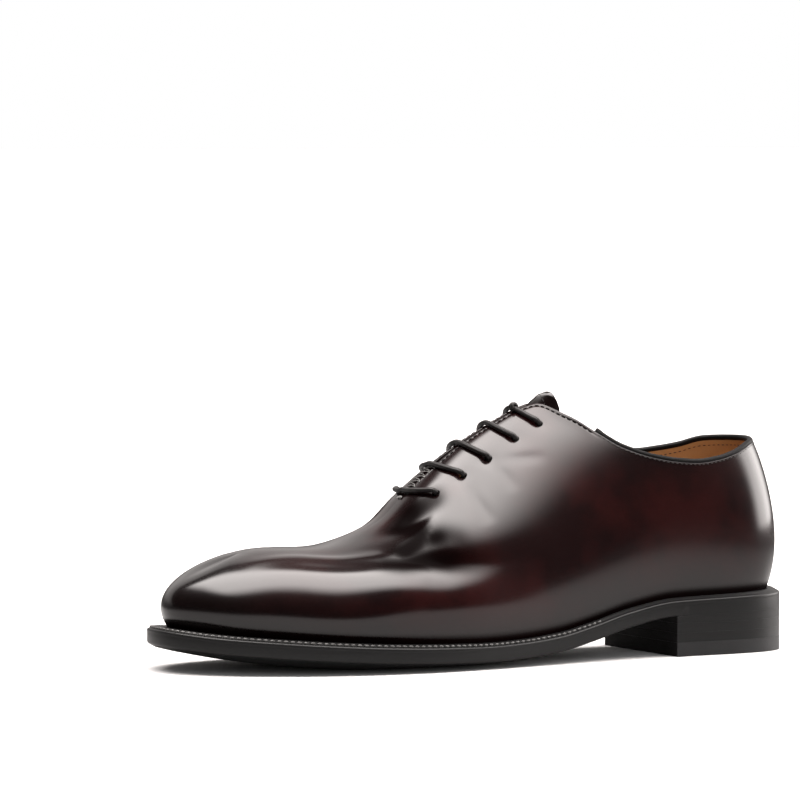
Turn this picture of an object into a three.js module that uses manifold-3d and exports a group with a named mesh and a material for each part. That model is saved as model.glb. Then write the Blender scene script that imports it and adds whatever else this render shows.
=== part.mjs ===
// Left oxford shoe with a one-piece upper.
// Millimetres, toe towards +X, lateral side towards +Y, floor at Z = 0.
import * as THREE from 'three';
import { mergeGeometries, mergeVertices } from 'three/addons/utils/BufferGeometryUtils.js';
import Module from 'manifold-3d';

const wasm = await Module();
wasm.setup();

// Main sizes of the shoe
const LENGTH = 301;
const BALL_WIDTH = 104;
const TOP_RISE = 93.6;
const HEEL_HEIGHT = 19.5;
const HEEL_LENGTH = 66;
const TOE_SPRING = 12.2;
const TREAD_LIFT = 3.2;
const EDGE_HEIGHT = 8.5;
const FLAT_SHARE = 0.34;

// Thicknesses of the pieces
const WELT_HEIGHT = 3.4;
const UPPER_WALL = 2.2;
const INSOLE_HEIGHT = 3.2;
const TONGUE_WALL = 2.4;
const TOP_PIECE_HEIGHT = 6;
const LIFT_HEIGHT = 4;
const GAP = 0.3;

// Width of the welt's shelf inside the upper, and the rounding of the outsole's lower edge
const WELT_SHELF = 8;
const EDGE_ROUND = 1.3;

// Lace: its width, its holes, and how far a bar bows towards the toe and lifts over the slot
const LACE_WIDTH = 2.3;
const EYELET_WIDTH = 3.6;
const LACE_BOW = 6;
const CROWN_RISE = 0.5;

// Tongue: half its width, share of it left at the top end, share of its length that rounds the top
// corners, ribs by which its top edge reaches further back at the sides, and how fast and how far it
// peaks where it has come out past the upper's edge
const TONGUE_HALF_WIDTH = 20;
const TONGUE_WING = 0.16;
const TONGUE_TIP = 0.6;
const TONGUE_CORNER = 0.1;
const PEAK_GAIN = 1.2;
const TONGUE_PEAK = 4.6;

// The tongue's middle comes up between the facings' upper corners: where, over what run, how wide
const TONGUE_RISE_START = 0.445;
const TONGUE_RISE_RUN = 0.04;
const TONGUE_RISE_REACH = 8;

// Bead along the collar, and rounding of the facings' upper corners
const BEAD_WIDTH = 2.2;
const BEAD_GAP = 0.4;
const CORNER_ROUND = 6;

// Fineness of the meshes
const RIBS_PER_ROW = 4;
const UPPER_ROWS = 9;
const SOLE_STEPS = 3;
const TREAD_COLUMNS = 6;
const INSOLE_STEPS = 2;
const TONGUE_STEPS = 18;
const TONGUE_COLUMNS = 12;
const BEAD_STEPS = 56;
const CORD_SIDES = 6;
const PUNCH_SIDES = 16;
const REACH_STEPS = 400;
const HALVINGS = 30;

const half = BALL_WIDTH / 2;

function table(names, rows) {
  const keys = names.split(' ');
  return rows.map((row) => Object.fromEntries(keys.map((key, k) => [key, row[k]])));
}

// Edge of the sole seen from above, heel back to toe tip: x as a share of the length,
// lateral (out) and medial (inn) reach as shares of half the ball width
const EDGE = table('x out inn', [
  [-0.003, 0.000, 0.000],
  [0.006, 0.365, -0.365],
  [0.051, 0.596, -0.596],
  [0.133, 0.644, -0.635],
  [0.219, 0.644, -0.615],
  [0.316, 0.698, -0.567],
  [0.415, 0.798, -0.596],
  [0.515, 0.903, -0.731],
  [0.605, 0.993, -0.894],
  [0.691, 1.000, -1.000],
  [0.777, 0.914, -1.029],
  [0.857, 0.753, -0.981],
  [0.930, 0.514, -0.846],
  [0.986, 0.172, -0.596],
  [1.007, -0.154, -0.154],
]);

// Ribs of the last, row for row with EDGE: foot (x, out, inn), ridge over the instep (topX, topY),
// rise of the ridge as a share of TOP_RISE, swell of each side beyond the foot as a share of half the
// ball width, height share of the swell, share of the wall above it, and flatness of each side at the ridge
const LAST = table('x out inn topX topY rise swellOut swellIn swellAt wall flatOut flatIn', [
  [0.011, 0.000, 0.000, 0.123, 0.000, 0.957, 0.096, 0.096, 0.28, 0.30, 0.55, 0.55],
  [0.028, 0.327, -0.327, 0.130, 0.000, 0.959, 0.096, 0.096, 0.28, 0.30, 0.55, 0.55],
  [0.062, 0.531, -0.538, 0.143, 0.000, 0.962, 0.096, 0.096, 0.28, 0.34, 0.60, 0.60],
  [0.133, 0.587, -0.577, 0.173, 0.000, 0.978, 0.087, 0.077, 0.28, 0.42, 0.66, 0.66],
  [0.219, 0.587, -0.558, 0.226, 0.000, 1.000, 0.106, 0.096, 0.28, 0.50, 0.66, 0.66],
  [0.316, 0.635, -0.510, 0.306, -0.005, 1.050, 0.106, 0.125, 0.28, 0.40, 0.46, 0.46],
  [0.415, 0.721, -0.538, 0.392, -0.012, 1.084, 0.096, 0.144, 0.28, 0.28, 0.30, 0.32],
  [0.515, 0.827, -0.663, 0.475, -0.020, 0.980, 0.087, 0.125, 0.28, 0.26, 0.25, 0.27],
  [0.605, 0.904, -0.808, 0.565, -0.030, 0.814, 0.077, 0.087, 0.30, 0.30, 0.25, 0.27],
  [0.691, 0.904, -0.904, 0.651, -0.056, 0.523, 0.077, 0.077, 0.32, 0.36, 0.33, 0.36],
  [0.776, 0.808, -0.923, 0.726, -0.094, 0.400, 0.077, 0.077, 0.34, 0.39, 0.41, 0.42],
  [0.851, 0.644, -0.875, 0.792, -0.125, 0.382, 0.077, 0.077, 0.35, 0.39, 0.48, 0.46],
  [0.916, 0.423, -0.750, 0.839, -0.135, 0.366, 0.077, 0.077, 0.36, 0.39, 0.53, 0.48],
  [0.954, 0.125, -0.519, 0.867, -0.144, 0.348, 0.077, 0.077, 0.36, 0.37, 0.55, 0.47],
  [0.984, -0.154, -0.154, 0.879, -0.154, 0.317, 0.077, 0.077, 0.36, 0.35, 0.57, 0.48],
]);

// Underside of the sole along the shoe: shares of heel height and toe spring taken up
// at the edge (the rest is TREAD_LIFT) and along the middle (the rest is the floor)
const UNDERSIDE = table('x heel toe midHeel midToe', [
  [0.00, 1.000, 0.000, 1.000, 0.000],
  [0.10, 0.953, 0.000, 0.960, 0.000],
  [0.22, 0.901, 0.000, 0.915, 0.000],
  [0.30, 0.676, 0.000, 0.690, 0.000],
  [0.365, 0.378, 0.000, 0.395, 0.000],
  [0.43, 0.136, 0.000, 0.155, 0.000],
  [0.50, 0.027, 0.000, 0.040, 0.000],
  [0.55, 0.000, 0.000, 0.000, 0.000],
  [0.63, 0.000, 0.055, 0.000, 0.000],
  [0.715, 0.000, 0.160, 0.000, 0.000],
  [0.80, 0.000, 0.320, 0.000, 0.110],
  [0.88, 0.000, 0.510, 0.000, 0.330],
  [0.95, 0.000, 0.710, 0.000, 0.620],
  [1.01, 0.000, 1.000, 0.000, 0.980],
]);

// Height of the collar's edge above the seat, as a share of TOP_RISE, on both sides
const COLLAR = table('x out inn', [
  [0.00, 0.715, 0.715],
  [0.04, 0.708, 0.708],
  [0.07, 0.690, 0.694],
  [0.105, 0.642, 0.658],
  [0.14, 0.611, 0.636],
  [0.175, 0.600, 0.622],
  [0.21, 0.610, 0.625],
  [0.25, 0.637, 0.646],
  [0.30, 0.701, 0.705],
  [0.33, 0.762, 0.762],
  [0.36, 0.836, 0.836],
  [0.385, 0.886, 0.886],
  [0.405, 0.960, 0.960],
  [0.45, 1.250, 1.250],
]);

// Width of the slot between the facings along the shoe
const SLOT = table('x width', [
  [0.34, 24.0],
  [0.385, 11.0],
  [0.41, 6.0],
  [0.435, 2.8],
  [0.47, 2.0],
  [0.53, 1.9],
  [0.575, 3.6],
  [0.600, 2.4],
  [0.617, 0.0],
  [1.01, 0.0],
]);

// Eyelet pairs, front to back: rib they sit on, and distance from the ridge along the leather
// as a share of half the ball width
const EYELETS = table('rib reach', [
  [8.12, 0.377],
  [7.62, 0.412],
  [7.14, 0.400],
  [6.62, 0.358],
  [6.16, 0.323],
]);

// Rise of the lace out of a hole: distance from the hole in lace widths, and share of its full
// height above the leather
const MOUTH = table('away above', [
  [0.000, 0.00],
  [0.065, 0.70],
  [0.350, 1.00],
  [0.700, 1.10],
]);

// Points of a lace bar between hole and slot, and of a run between two holes, as shares of their length
const BAR_SHARES = [0.22, 0.36, 0.52, 0.7, 0.86];
const RUN_SHARES = [0.02, 0.1, 0.3, 0.5, 0.7, 0.9, 0.98];

// Rounding of the outsole's lower edge, as shares of EDGE_ROUND
const ROUNDING = table('inset up', [
  [1.0, 0.0],
  [0.3, 0.3],
  [0.0, 1.0],
]);

// Ribs at which the collar bead starts and the tongue begins and ends
const BEAD_RIB = 5.12;
const TONGUE_TOP_RIB = 5.87;
const TONGUE_FRONT_RIB = 9.1;

// Value of a table's column at x, by monotone cubic interpolation
function along(rows, key, x) {
  const last = rows.length - 1;
  const at = THREE.MathUtils.clamp(x, rows[0].x, rows[last].x);
  let i = 0;
  while (i < last - 1 && rows[i + 1].x < at) {
    i += 1;
  }
  const secant = (k) => (rows[k + 1][key] - rows[k][key]) / (rows[k + 1].x - rows[k].x);
  const slope = (k) => {
    if (k === 0 || k === last) {
      return k === 0 ? secant(0) : secant(last - 1);
    }
    const before = secant(k - 1);
    const after = secant(k);
    return before * after <= 0 ? 0 : (2 * before * after) / (before + after);
  };
  const span = rows[i + 1].x - rows[i].x;
  const f = (at - rows[i].x) / span;
  const rise = f * f * (3 - 2 * f);
  const start = f * (1 - f) * (1 - f) * span * slope(i);
  const end = f * f * (f - 1) * span * slope(i + 1);
  return rows[i][key] * (1 - rise) + rows[i + 1][key] * rise + start + end;
}

// Height of the sole's lower edge, and of its middle, at x
function edgeBottom(x) {
  const heel = along(UNDERSIDE, 'heel', x / LENGTH);
  const toe = along(UNDERSIDE, 'toe', x / LENGTH);
  return heel * HEEL_HEIGHT + toe * TOE_SPRING + (1 - heel - toe) * TREAD_LIFT;
}

function middleBottom(x) {
  const heel = along(UNDERSIDE, 'midHeel', x / LENGTH);
  const toe = along(UNDERSIDE, 'midToe', x / LENGTH);
  return Math.min(heel * HEEL_HEIGHT + toe * TOE_SPRING, edgeBottom(x));
}

const weltTop = (x) => edgeBottom(x) + EDGE_HEIGHT;
const outsoleTop = (x) => weltTop(x) - WELT_HEIGHT - GAP;
const seat = weltTop(0);

// Closed ring of rows round the shoe: heel back, lateral side, toe tip, medial side
const LAST_ROW = LAST.length - 1;
const TURN = 2 * LAST_ROW;

function ring(rowPoint) {
  const points = [];
  for (let i = 0; i <= LAST_ROW; i += 1) {
    points.push(rowPoint(i, 'out'));
  }
  for (let i = LAST_ROW - 1; i > 0; i -= 1) {
    points.push(rowPoint(i, 'inn'));
  }
  return points;
}

// Uniform cubic B-spline round a closed ring of control points
function ringPoint(controls, t) {
  const n = controls.length;
  const start = Math.floor(t);
  const f = t - start;
  const weights = [(1 - f) ** 3, 3 * f ** 3 - 6 * f ** 2 + 4, -3 * f ** 3 + 3 * f ** 2 + 3 * f + 1, f ** 3];
  const point = new THREE.Vector3();
  weights.forEach((weight, k) => point.addScaledVector(controls[(start + k - 1 + n) % n], weight / 6));
  return point;
}

const edgeRing = ring((i, side) => new THREE.Vector3(EDGE[i].x * LENGTH, EDGE[i][side] * half, 0));

// Control points of the ribs, foot to ridge: foot, swell below and above, shoulder, ridge
function ridgePoint(i) {
  const row = LAST[i];
  const foot = weltTop(row.x * LENGTH);
  return new THREE.Vector3(row.topX * LENGTH, row.topY * half, foot + row.rise * TOP_RISE);
}

function ribControls(i, side) {
  const row = LAST[i];
  const [swell, flat] = side === 'out' ? [row.swellOut, row.flatOut] : [row.swellIn, row.flatIn];
  const ridge = ridgePoint(i);
  const behind = ridgePoint(Math.max(i - 1, 0));
  const ahead = ridgePoint(Math.min(i + 1, LAST_ROW));
  const slope = (ahead.z - behind.z) / (ahead.x - behind.x);
  const foot = new THREE.Vector3(row.x * LENGTH, row[side] * half, weltTop(row.x * LENGTH));
  const out = new THREE.Vector3(foot.x - ridge.x, foot.y - ridge.y, 0);
  const reach = out.length();
  out.normalize();
  const height = ridge.z - foot.z;
  const place = (distance, up) => ridge.clone().addScaledVector(out, distance).setZ(foot.z + up * height);
  const shoulder = place(flat * reach, 1);
  shoulder.z += slope * out.x * flat * reach;
  return [
    foot,
    place(reach + swell * half, row.swellAt / 2),
    place(reach + swell * half, row.swellAt + row.wall * (1 - row.swellAt)),
    shoulder,
    ridge,
  ];
}

const ribRings = [0, 1, 2, 3, 4].map((k) => ring((i, side) => ribControls(i, side)[k]));

// Weights of a rib's five control points at height share v (clamped cubic B-spline, one inner knot)
function ribWeights(v) {
  const knots = [0, 0, 0, 0, 0.5, 1, 1, 1, 1];
  const at = Math.min(v, 1 - 1e-9);
  let basis = knots.slice(1).map((knot, k) => (knots[k] <= at && at < knot ? 1 : 0));
  for (let degree = 1; degree <= 3; degree += 1) {
    basis = basis.slice(1).map((next, k) => {
      const left = knots[k + degree] - knots[k];
      const right = knots[k + degree + 1] - knots[k + 1];
      const rising = left > 0 ? ((at - knots[k]) / left) * basis[k] : 0;
      const falling = right > 0 ? ((knots[k + degree + 1] - at) / right) * next : 0;
      return rising + falling;
    });
  }
  return basis;
}

// Point of the last's surface on rib t (0 at the heel back, LAST_ROW at the toe) at height share v
function lastPoint(t, v) {
  const controls = ribRings.map((points) => ringPoint(points, (t + TURN) % TURN));
  const lift = weltTop(controls[0].x) + GAP - controls[0].z;
  controls[0].z += lift;
  controls[1].z += lift / 2;
  const weights = ribWeights(v);
  return controls.reduce((sum, point, k) => sum.addScaledVector(point, weights[k]), new THREE.Vector3());
}

// Outward normal of the last's surface
function lastNormal(t, v) {
  const step = 0.01;
  const low = THREE.MathUtils.clamp(v - step, 0, 1);
  const high = THREE.MathUtils.clamp(v + step, 0, 1);
  const round = lastPoint(t + step, v).sub(lastPoint(t - step, v));
  const up = lastPoint(t, high).sub(lastPoint(t, low));
  return up.cross(round).normalize();
}

// Normal on the ridge, shared by both sides
function ridgeNormal(t) {
  return lastNormal(t, 1).add(lastNormal(TURN - t, 1)).normalize();
}

const onLateral = (t) => t <= LAST_ROW;

// How far a point of the last lies inside the collar's edge and the slot, blended round their corner
function coverage(t, v) {
  const point = lastPoint(t, v);
  const x = point.x / LENGTH;
  const below = seat + along(COLLAR, onLateral(t) ? 'out' : 'inn', x) * TOP_RISE - point.z;
  if (x < SLOT[0].x) {
    return below;
  }
  const beside = Math.abs(point.y - lastPoint(t, 1).y) - along(SLOT, 'width', x) / 2;
  const blend = Math.max(CORNER_ROUND - Math.abs(below - beside), 0) / CORNER_ROUND;
  return Math.min(below, beside) - (blend * blend * CORNER_ROUND) / 4;
}

// Value between two others up to which the test holds, by halving
function boundary(start, end, holds) {
  let low = start;
  let high = end;
  for (let k = 0; k < HALVINGS; k += 1) {
    const middle = (low + high) / 2;
    if (holds(middle)) {
      low = middle;
    } else {
      high = middle;
    }
  }
  return low;
}

// Height share at which the upper ends on rib t
function upperEnd(t) {
  if (along(SLOT, 'width', lastPoint(t, 1).x / LENGTH) <= 0) {
    return 1;
  }
  const step = 1 / 80;
  let low = 0.3;
  while (low < 1 && coverage(t, low + step) > 0) {
    low += step;
  }
  return Math.min(boundary(low, low + step, (v) => coverage(t, v) > 0), 1);
}

// Solid from points and triangles
function geometryOf(points, triangles) {
  const geometry = new THREE.BufferGeometry();
  const numbers = points.flatMap((p) => [p.x, p.y, p.z]);
  geometry.setAttribute('position', new THREE.Float32BufferAttribute(numbers, 3));
  geometry.setIndex(triangles.flat());
  return geometry;
}

function quad(a, b, c, d) {
  return [[a, b, c], [a, c, d]].filter(([p, q, r]) => p !== q && q !== r && p !== r);
}

// Keeps only positions and welds equal corners
function welded(geometry) {
  const bare = new THREE.BufferGeometry();
  bare.setAttribute('position', geometry.getAttribute('position'));
  if (geometry.index) {
    bare.setIndex(geometry.index);
  }
  return mergeVertices(bare, 1e-4);
}

function toManifold(geometry) {
  const solid = welded(geometry);
  return new wasm.Manifold(new wasm.Mesh({
    numProp: 3,
    vertProperties: new Float32Array(solid.getAttribute('position').array),
    triVerts: new Uint32Array(solid.index.array),
  }));
}

function fromManifold(manifold) {
  const mesh = manifold.getMesh();
  const geometry = new THREE.BufferGeometry();
  geometry.setAttribute('position', new THREE.Float32BufferAttribute(mesh.vertProperties, 3));
  geometry.setIndex([...mesh.triVerts]);
  return geometry;
}

// Closed solid between stacked loops of equal count, capped across from lateral to medial side
function stackedLoops(loops, bottomHeight, bottomColumns, topHeight, topColumns) {
  const count = loops[0].length;
  const points = loops.flat();
  const triangles = [];
  for (let k = 0; k < loops.length - 1; k += 1) {
    for (let i = 0; i < count; i += 1) {
      const next = (i + 1) % count;
      const low = k * count;
      const high = low + count;
      triangles.push(...quad(low + i, high + i, high + next, low + next));
    }
  }
  const cap = (start, columns, height, upwards) => {
    const rows = [];
    for (let i = 0; i <= count / 2; i += 1) {
      const other = (count - i) % count;
      const from = points[start + i];
      const to = points[start + other];
      const row = [start + i];
      for (let c = 1; c < columns && other !== i; c += 1) {
        const point = from.clone().lerp(to, c / columns);
        point.z = height(point.x, Math.abs((2 * c) / columns - 1));
        points.push(point);
        row.push(points.length - 1);
      }
      rows.push(other === i ? Array(columns + 1).fill(start + i) : [...row, start + other]);
    }
    for (let i = 0; i < rows.length - 1; i += 1) {
      for (let c = 0; c < columns; c += 1) {
        const corners = [rows[i][c], rows[i + 1][c], rows[i + 1][c + 1], rows[i][c + 1]];
        triangles.push(...quad(...(upwards ? corners.reverse() : corners)));
      }
    }
  };
  cap(0, bottomColumns, bottomHeight, false);
  cap((loops.length - 1) * count, topColumns, topHeight, true);
  return geometryOf(points, triangles);
}

// Loop round the shoe at an inward distance from a base curve, with its own height rule
function loopAt(base, steps, inset, height) {
  const count = TURN * steps;
  const loop = [];
  for (let i = 0; i < count; i += 1) {
    const t = i / steps;
    const point = base(t);
    const before = base((t - 0.1 + TURN) % TURN);
    const after = base((t + 0.1) % TURN);
    const inward = new THREE.Vector3(after.y - before.y, before.x - after.x, 0).normalize().negate();
    point.addScaledVector(inward, -inset);
    point.z = height(point.x);
    loop.push(point);
  }
  return loop;
}

const edgeCurve = (t) => ringPoint(edgeRing, t);
const footCurve = (t) => lastPoint(t, 0);

function outsole() {
  const edge = ROUNDING.map(({ inset, up }) => (
    loopAt(edgeCurve, SOLE_STEPS, inset * EDGE_ROUND, (x) => edgeBottom(x) + up * EDGE_ROUND)
  ));
  const top = loopAt(edgeCurve, SOLE_STEPS, 0, outsoleTop);
  const tread = (x, u) => {
    const rise = Math.max(u - FLAT_SHARE, 0) / (1 - FLAT_SHARE);
    return middleBottom(x) + (edgeBottom(x) - middleBottom(x)) * rise * rise;
  };
  return stackedLoops([...edge, top], tread, TREAD_COLUMNS, outsoleTop, 2);
}

function welt() {
  const base = (x) => outsoleTop(x) + GAP;
  const loops = [
    loopAt(edgeCurve, SOLE_STEPS, 0, base),
    loopAt(edgeCurve, SOLE_STEPS, 0, weltTop),
    loopAt(footCurve, SOLE_STEPS, WELT_SHELF, weltTop),
    loopAt(footCurve, SOLE_STEPS, WELT_SHELF, base),
  ];
  const count = loops[0].length;
  const triangles = [];
  loops.forEach((loop, k) => {
    const low = k * count;
    const high = ((k + 1) % loops.length) * count;
    for (let i = 0; i < count; i += 1) {
      const next = (i + 1) % count;
      triangles.push(...quad(low + i, high + i, high + next, low + next));
    }
  });
  return geometryOf(loops.flat(), triangles);
}

// Footbed inside the upper, with a filler below that drops inside the welt
function insole() {
  const fillerInset = WELT_SHELF + GAP;
  const bedInset = UPPER_WALL + 3 * GAP;
  const low = (x) => outsoleTop(x) + GAP;
  const ledge = (x) => weltTop(x) + GAP;
  const top = (x) => ledge(x) + INSOLE_HEIGHT;
  const loops = [
    loopAt(footCurve, INSOLE_STEPS, fillerInset, low),
    loopAt(footCurve, INSOLE_STEPS, fillerInset, ledge),
    loopAt(footCurve, INSOLE_STEPS, bedInset, ledge),
    loopAt(footCurve, INSOLE_STEPS, bedInset, top),
  ];
  return stackedLoops(loops, low, 2, top, 2);
}

// Slab of the heel between two heights, cut off straight at the breast
function heelSlab(bottom, top) {
  const points = [];
  for (let i = 0; i < TURN * SOLE_STEPS; i += 1) {
    const point = edgeCurve(i / SOLE_STEPS);
    if (point.x < HEEL_LENGTH) {
      points.push(new THREE.Vector2(point.x, point.y));
    }
  }
  const breast = (start) => edgeCurve(boundary(start, LAST_ROW, (t) => edgeCurve(t).x < HEEL_LENGTH));
  const out = breast(0);
  const inn = breast(TURN);
  const lateral = points.filter((p) => p.y >= 0);
  const medial = points.filter((p) => p.y < 0);
  const outline = [...lateral, new THREE.Vector2(out.x, out.y), new THREE.Vector2(inn.x, inn.y), ...medial];
  const slab = new THREE.ExtrudeGeometry(new THREE.Shape(outline), { depth: 1, bevelEnabled: false });
  const position = slab.getAttribute('position');
  for (let i = 0; i < position.count; i += 1) {
    const height = position.getZ(i) > 0.5 ? top : bottom;
    position.setZ(i, height(position.getX(i)));
  }
  return welded(slab);
}

const flat = (height) => () => height;
const liftBottom = (k) => TOP_PIECE_HEIGHT + GAP + k * (LIFT_HEIGHT + GAP);

// Ribs of the upper with their end heights
const ribCount = TURN * RIBS_PER_ROW;
const ribEnds = Array.from({ length: ribCount }, (unused, i) => upperEnd(i / RIBS_PER_ROW));
const isClosed = (i) => ribEnds[i] === 1;
const mirrored = (i) => (ribCount - i) % ribCount;

// Offset point of the last, inward for positive depth; the foot stays level with the welt
function insidePoint(t, v, depth) {
  const normal = v === 1 ? ridgeNormal(t) : lastNormal(t, v);
  const point = lastPoint(t, v).addScaledVector(normal, -depth);
  if (v === 0) {
    point.z = weltTop(point.x) + GAP;
  }
  return point;
}

function upperShell() {
  const rows = UPPER_ROWS + 1;
  const points = [];
  for (const depth of [0, UPPER_WALL]) {
    for (let i = 0; i < ribCount; i += 1) {
      for (let j = 0; j < rows; j += 1) {
        points.push(insidePoint(i / RIBS_PER_ROW, (ribEnds[i] * j) / UPPER_ROWS, depth));
      }
    }
  }
  const index = (layer, i, j) => {
    const rib = i % ribCount;
    const shared = j === UPPER_ROWS && isClosed(rib) && rib > ribCount / 2;
    return layer * ribCount * rows + (shared ? mirrored(rib) : rib) * rows + j;
  };
  const triangles = [];
  for (let i = 0; i < ribCount; i += 1) {
    for (let j = 0; j < UPPER_ROWS; j += 1) {
      const outer = [index(0, i, j), index(0, i, j + 1), index(0, i + 1, j + 1), index(0, i + 1, j)];
      const inner = [index(1, i + 1, j), index(1, i + 1, j + 1), index(1, i, j + 1), index(1, i, j)];
      triangles.push(...quad(...outer), ...quad(...inner));
    }
    triangles.push(...quad(index(0, i + 1, 0), index(1, i + 1, 0), index(1, i, 0), index(0, i, 0)));
    const next = (i + 1) % ribCount;
    if (!(isClosed(i) && isClosed(next))) {
      const rim = [index(0, i, UPPER_ROWS), index(1, i, UPPER_ROWS), index(1, next, UPPER_ROWS)];
      triangles.push(...quad(...rim, index(0, next, UPPER_ROWS)));
    }
  }
  return geometryOf(points, triangles);
}

// Height share on rib t at a given distance from the ridge along the leather
function shareAtReach(t, reach) {
  let walked = 0;
  let previous = lastPoint(t, 1);
  for (let k = 1; k <= REACH_STEPS; k += 1) {
    const point = lastPoint(t, 1 - k / REACH_STEPS);
    walked += point.distanceTo(previous);
    previous = point;
    if (walked >= reach) {
      return 1 - k / REACH_STEPS;
    }
  }
  return 0;
}

// Eyelets of one side: rib and height share of each hole, front to back
function eyeletsOf(side) {
  return EYELETS.map(({ rib, reach }) => {
    const t = side === 'out' ? rib : TURN - rib;
    return { t, v: shareAtReach(t, reach * half) };
  });
}

const eyeletsOut = eyeletsOf('out');
const eyeletsIn = eyeletsOf('inn');

function punched(shell) {
  let solid = toManifold(shell);
  const depth = UPPER_WALL * 4;
  for (const { t, v } of [...eyeletsOut, ...eyeletsIn]) {
    const punch = new THREE.CylinderGeometry(EYELET_WIDTH / 2, EYELET_WIDTH / 2, depth, PUNCH_SIDES);
    const turn = new THREE.Quaternion().setFromUnitVectors(new THREE.Vector3(0, 1, 0), lastNormal(t, v));
    punch.applyQuaternion(turn);
    const centre = insidePoint(t, v, UPPER_WALL / 2);
    punch.translate(centre.x, centre.y, centre.z);
    solid = solid.subtract(toManifold(punch));
  }
  return fromManifold(solid);
}

// Depths below the leather's face: lace inside the upper, and the tongue under it
const laceInside = UPPER_WALL + 2 * GAP + LACE_WIDTH / 2;
const tongueDepth = UPPER_WALL + LACE_WIDTH + 4 * GAP;
const tongueRest = UPPER_WALL + 2 * GAP;
const laceOutside = -(GAP + LACE_WIDTH / 2);

// Depth of the tongue below the leather's face: under the laces it lies low, between the
// facings' upper corners its middle comes up, and past them it stands clear
function tongueDepthAt(x, reach) {
  const raised = THREE.MathUtils.smoothstep(TONGUE_RISE_START - x / LENGTH, 0, TONGUE_RISE_RUN);
  return tongueDepth - (tongueDepth - tongueRest) * raised * Math.exp(-((reach / TONGUE_RISE_REACH) ** 4));
}

// Rise of the tongue where it has come out past the upper's edge
function tonguePeak(t, v) {
  return THREE.MathUtils.clamp(PEAK_GAIN * (-coverage(t, v) - 2 * GAP), 0, TONGUE_PEAK);
}

function tongue() {
  const steps = TONGUE_STEPS;
  const columns = TONGUE_COLUMNS;
  const endCrowding = 1.5;
  const middleCrowding = 1.4;
  const points = [];
  const halfWidth = (share) => {
    const corner = 1 - Math.min(share / TONGUE_CORNER, 1);
    return TONGUE_HALF_WIDTH * (TONGUE_TIP + (1 - TONGUE_TIP) * Math.sqrt(1 - corner * corner));
  };
  for (const below of [0, TONGUE_WALL]) {
    for (let i = 0; i <= steps; i += 1) {
      const share = (i / steps) ** endCrowding;
      for (let c = 0; c <= columns; c += 1) {
        const u = (2 * c) / columns - 1;
        const rib = THREE.MathUtils.lerp(TONGUE_TOP_RIB - TONGUE_WING * Math.abs(u), TONGUE_FRONT_RIB, share);
        const t = u <= 0 ? rib : TURN - rib;
        const reach = Math.abs(u) ** middleCrowding * halfWidth(share);
        const v = u === 0 ? 1 : shareAtReach(t, reach);
        const x = lastPoint(t, v).x;
        const point = insidePoint(t, v, tongueDepthAt(x, reach) + below);
        point.z += tonguePeak(t, v);
        points.push(point);
      }
    }
  }
  const index = (layer, i, c) => (layer * (steps + 1) + i) * (columns + 1) + c;
  const triangles = [];
  for (let i = 0; i < steps; i += 1) {
    for (let c = 0; c < columns; c += 1) {
      const face = [index(0, i, c), index(0, i, c + 1), index(0, i + 1, c + 1), index(0, i + 1, c)];
      const back = [index(1, i + 1, c), index(1, i + 1, c + 1), index(1, i, c + 1), index(1, i, c)];
      triangles.push(...quad(...face), ...quad(...back));
    }
    triangles.push(...quad(index(0, i, 0), index(0, i + 1, 0), index(1, i + 1, 0), index(1, i, 0)));
    const side = [index(1, i, columns), index(1, i + 1, columns), index(0, i + 1, columns)];
    triangles.push(...quad(...side, index(0, i, columns)));
  }
  for (let c = 0; c < columns; c += 1) {
    triangles.push(...quad(index(1, 0, c), index(1, 0, c + 1), index(0, 0, c + 1), index(0, 0, c)));
    const front = [index(0, steps, c), index(0, steps, c + 1), index(1, steps, c + 1)];
    triangles.push(...quad(...front, index(1, steps, c)));
  }
  return geometryOf(points, triangles);
}

// Smooth run of cord through points, as a prism with the same number of steps between each two
function cord(points, width, stepsBetween) {
  const path = new THREE.CatmullRomCurve3(points, false, 'centripetal');
  path.getUtoTmapping = (u) => u;
  const section = new THREE.Shape();
  section.moveTo(width / 2, 0);
  for (let k = 1; k < CORD_SIDES; k += 1) {
    const angle = (2 * Math.PI * k) / CORD_SIDES;
    section.lineTo((Math.cos(angle) * width) / 2, (Math.sin(angle) * width) / 2);
  }
  section.closePath();
  const steps = (points.length - 1) * stepsBetween;
  return welded(new THREE.ExtrudeGeometry(section, { steps, extrudePath: path, bevelEnabled: false }));
}

// Rib on the same side as t that passes x at height share v
function ribAtX(t, v, x) {
  const towardsToe = onLateral(t) ? 1 : -1;
  return boundary(t - towardsToe, t + towardsToe, (rib) => lastPoint(rib, v).x < x);
}

// Lace over the leather between the two holes of a pair; square to the slot, it bows towards the toe
function laceBar(k, from, to) {
  const reach = EYELETS[k].reach * half;
  const mouth = MOUTH.map(({ away, above }) => ({ away: away * LACE_WIDTH, above }));
  const over = BAR_SHARES.map((share) => ({ away: share * reach, above: MOUTH[MOUTH.length - 1].above }));
  const rise = (hole) => [...mouth, ...over].map(({ away, above }) => {
    const share = away / reach;
    const x = lastPoint(hole.t, hole.v).x + LACE_BOW * share * (2 - share);
    const v = shareAtReach(hole.t, reach - away);
    return insidePoint(ribAtX(hole.t, v, x), v, laceOutside * above + (1 - above) * GAP);
  });
  const up = rise(from);
  const down = rise(to).reverse();
  const crown = up[up.length - 1].clone().add(down[0]).multiplyScalar(0.5);
  crown.z += CROWN_RISE;
  return [...up, crown, ...down];
}

// Lace inside the upper between two holes on the same side
function laceRun(from, to) {
  return RUN_SHARES.map((share, k) => {
    const t = THREE.MathUtils.lerp(from.t, to.t, share);
    const v = THREE.MathUtils.lerp(from.v, to.v, share);
    const isEnd = k === 0 || k === RUN_SHARES.length - 1;
    return insidePoint(t, v, laceInside - (isEnd ? LACE_WIDTH / 4 : 0));
  });
}

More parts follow.
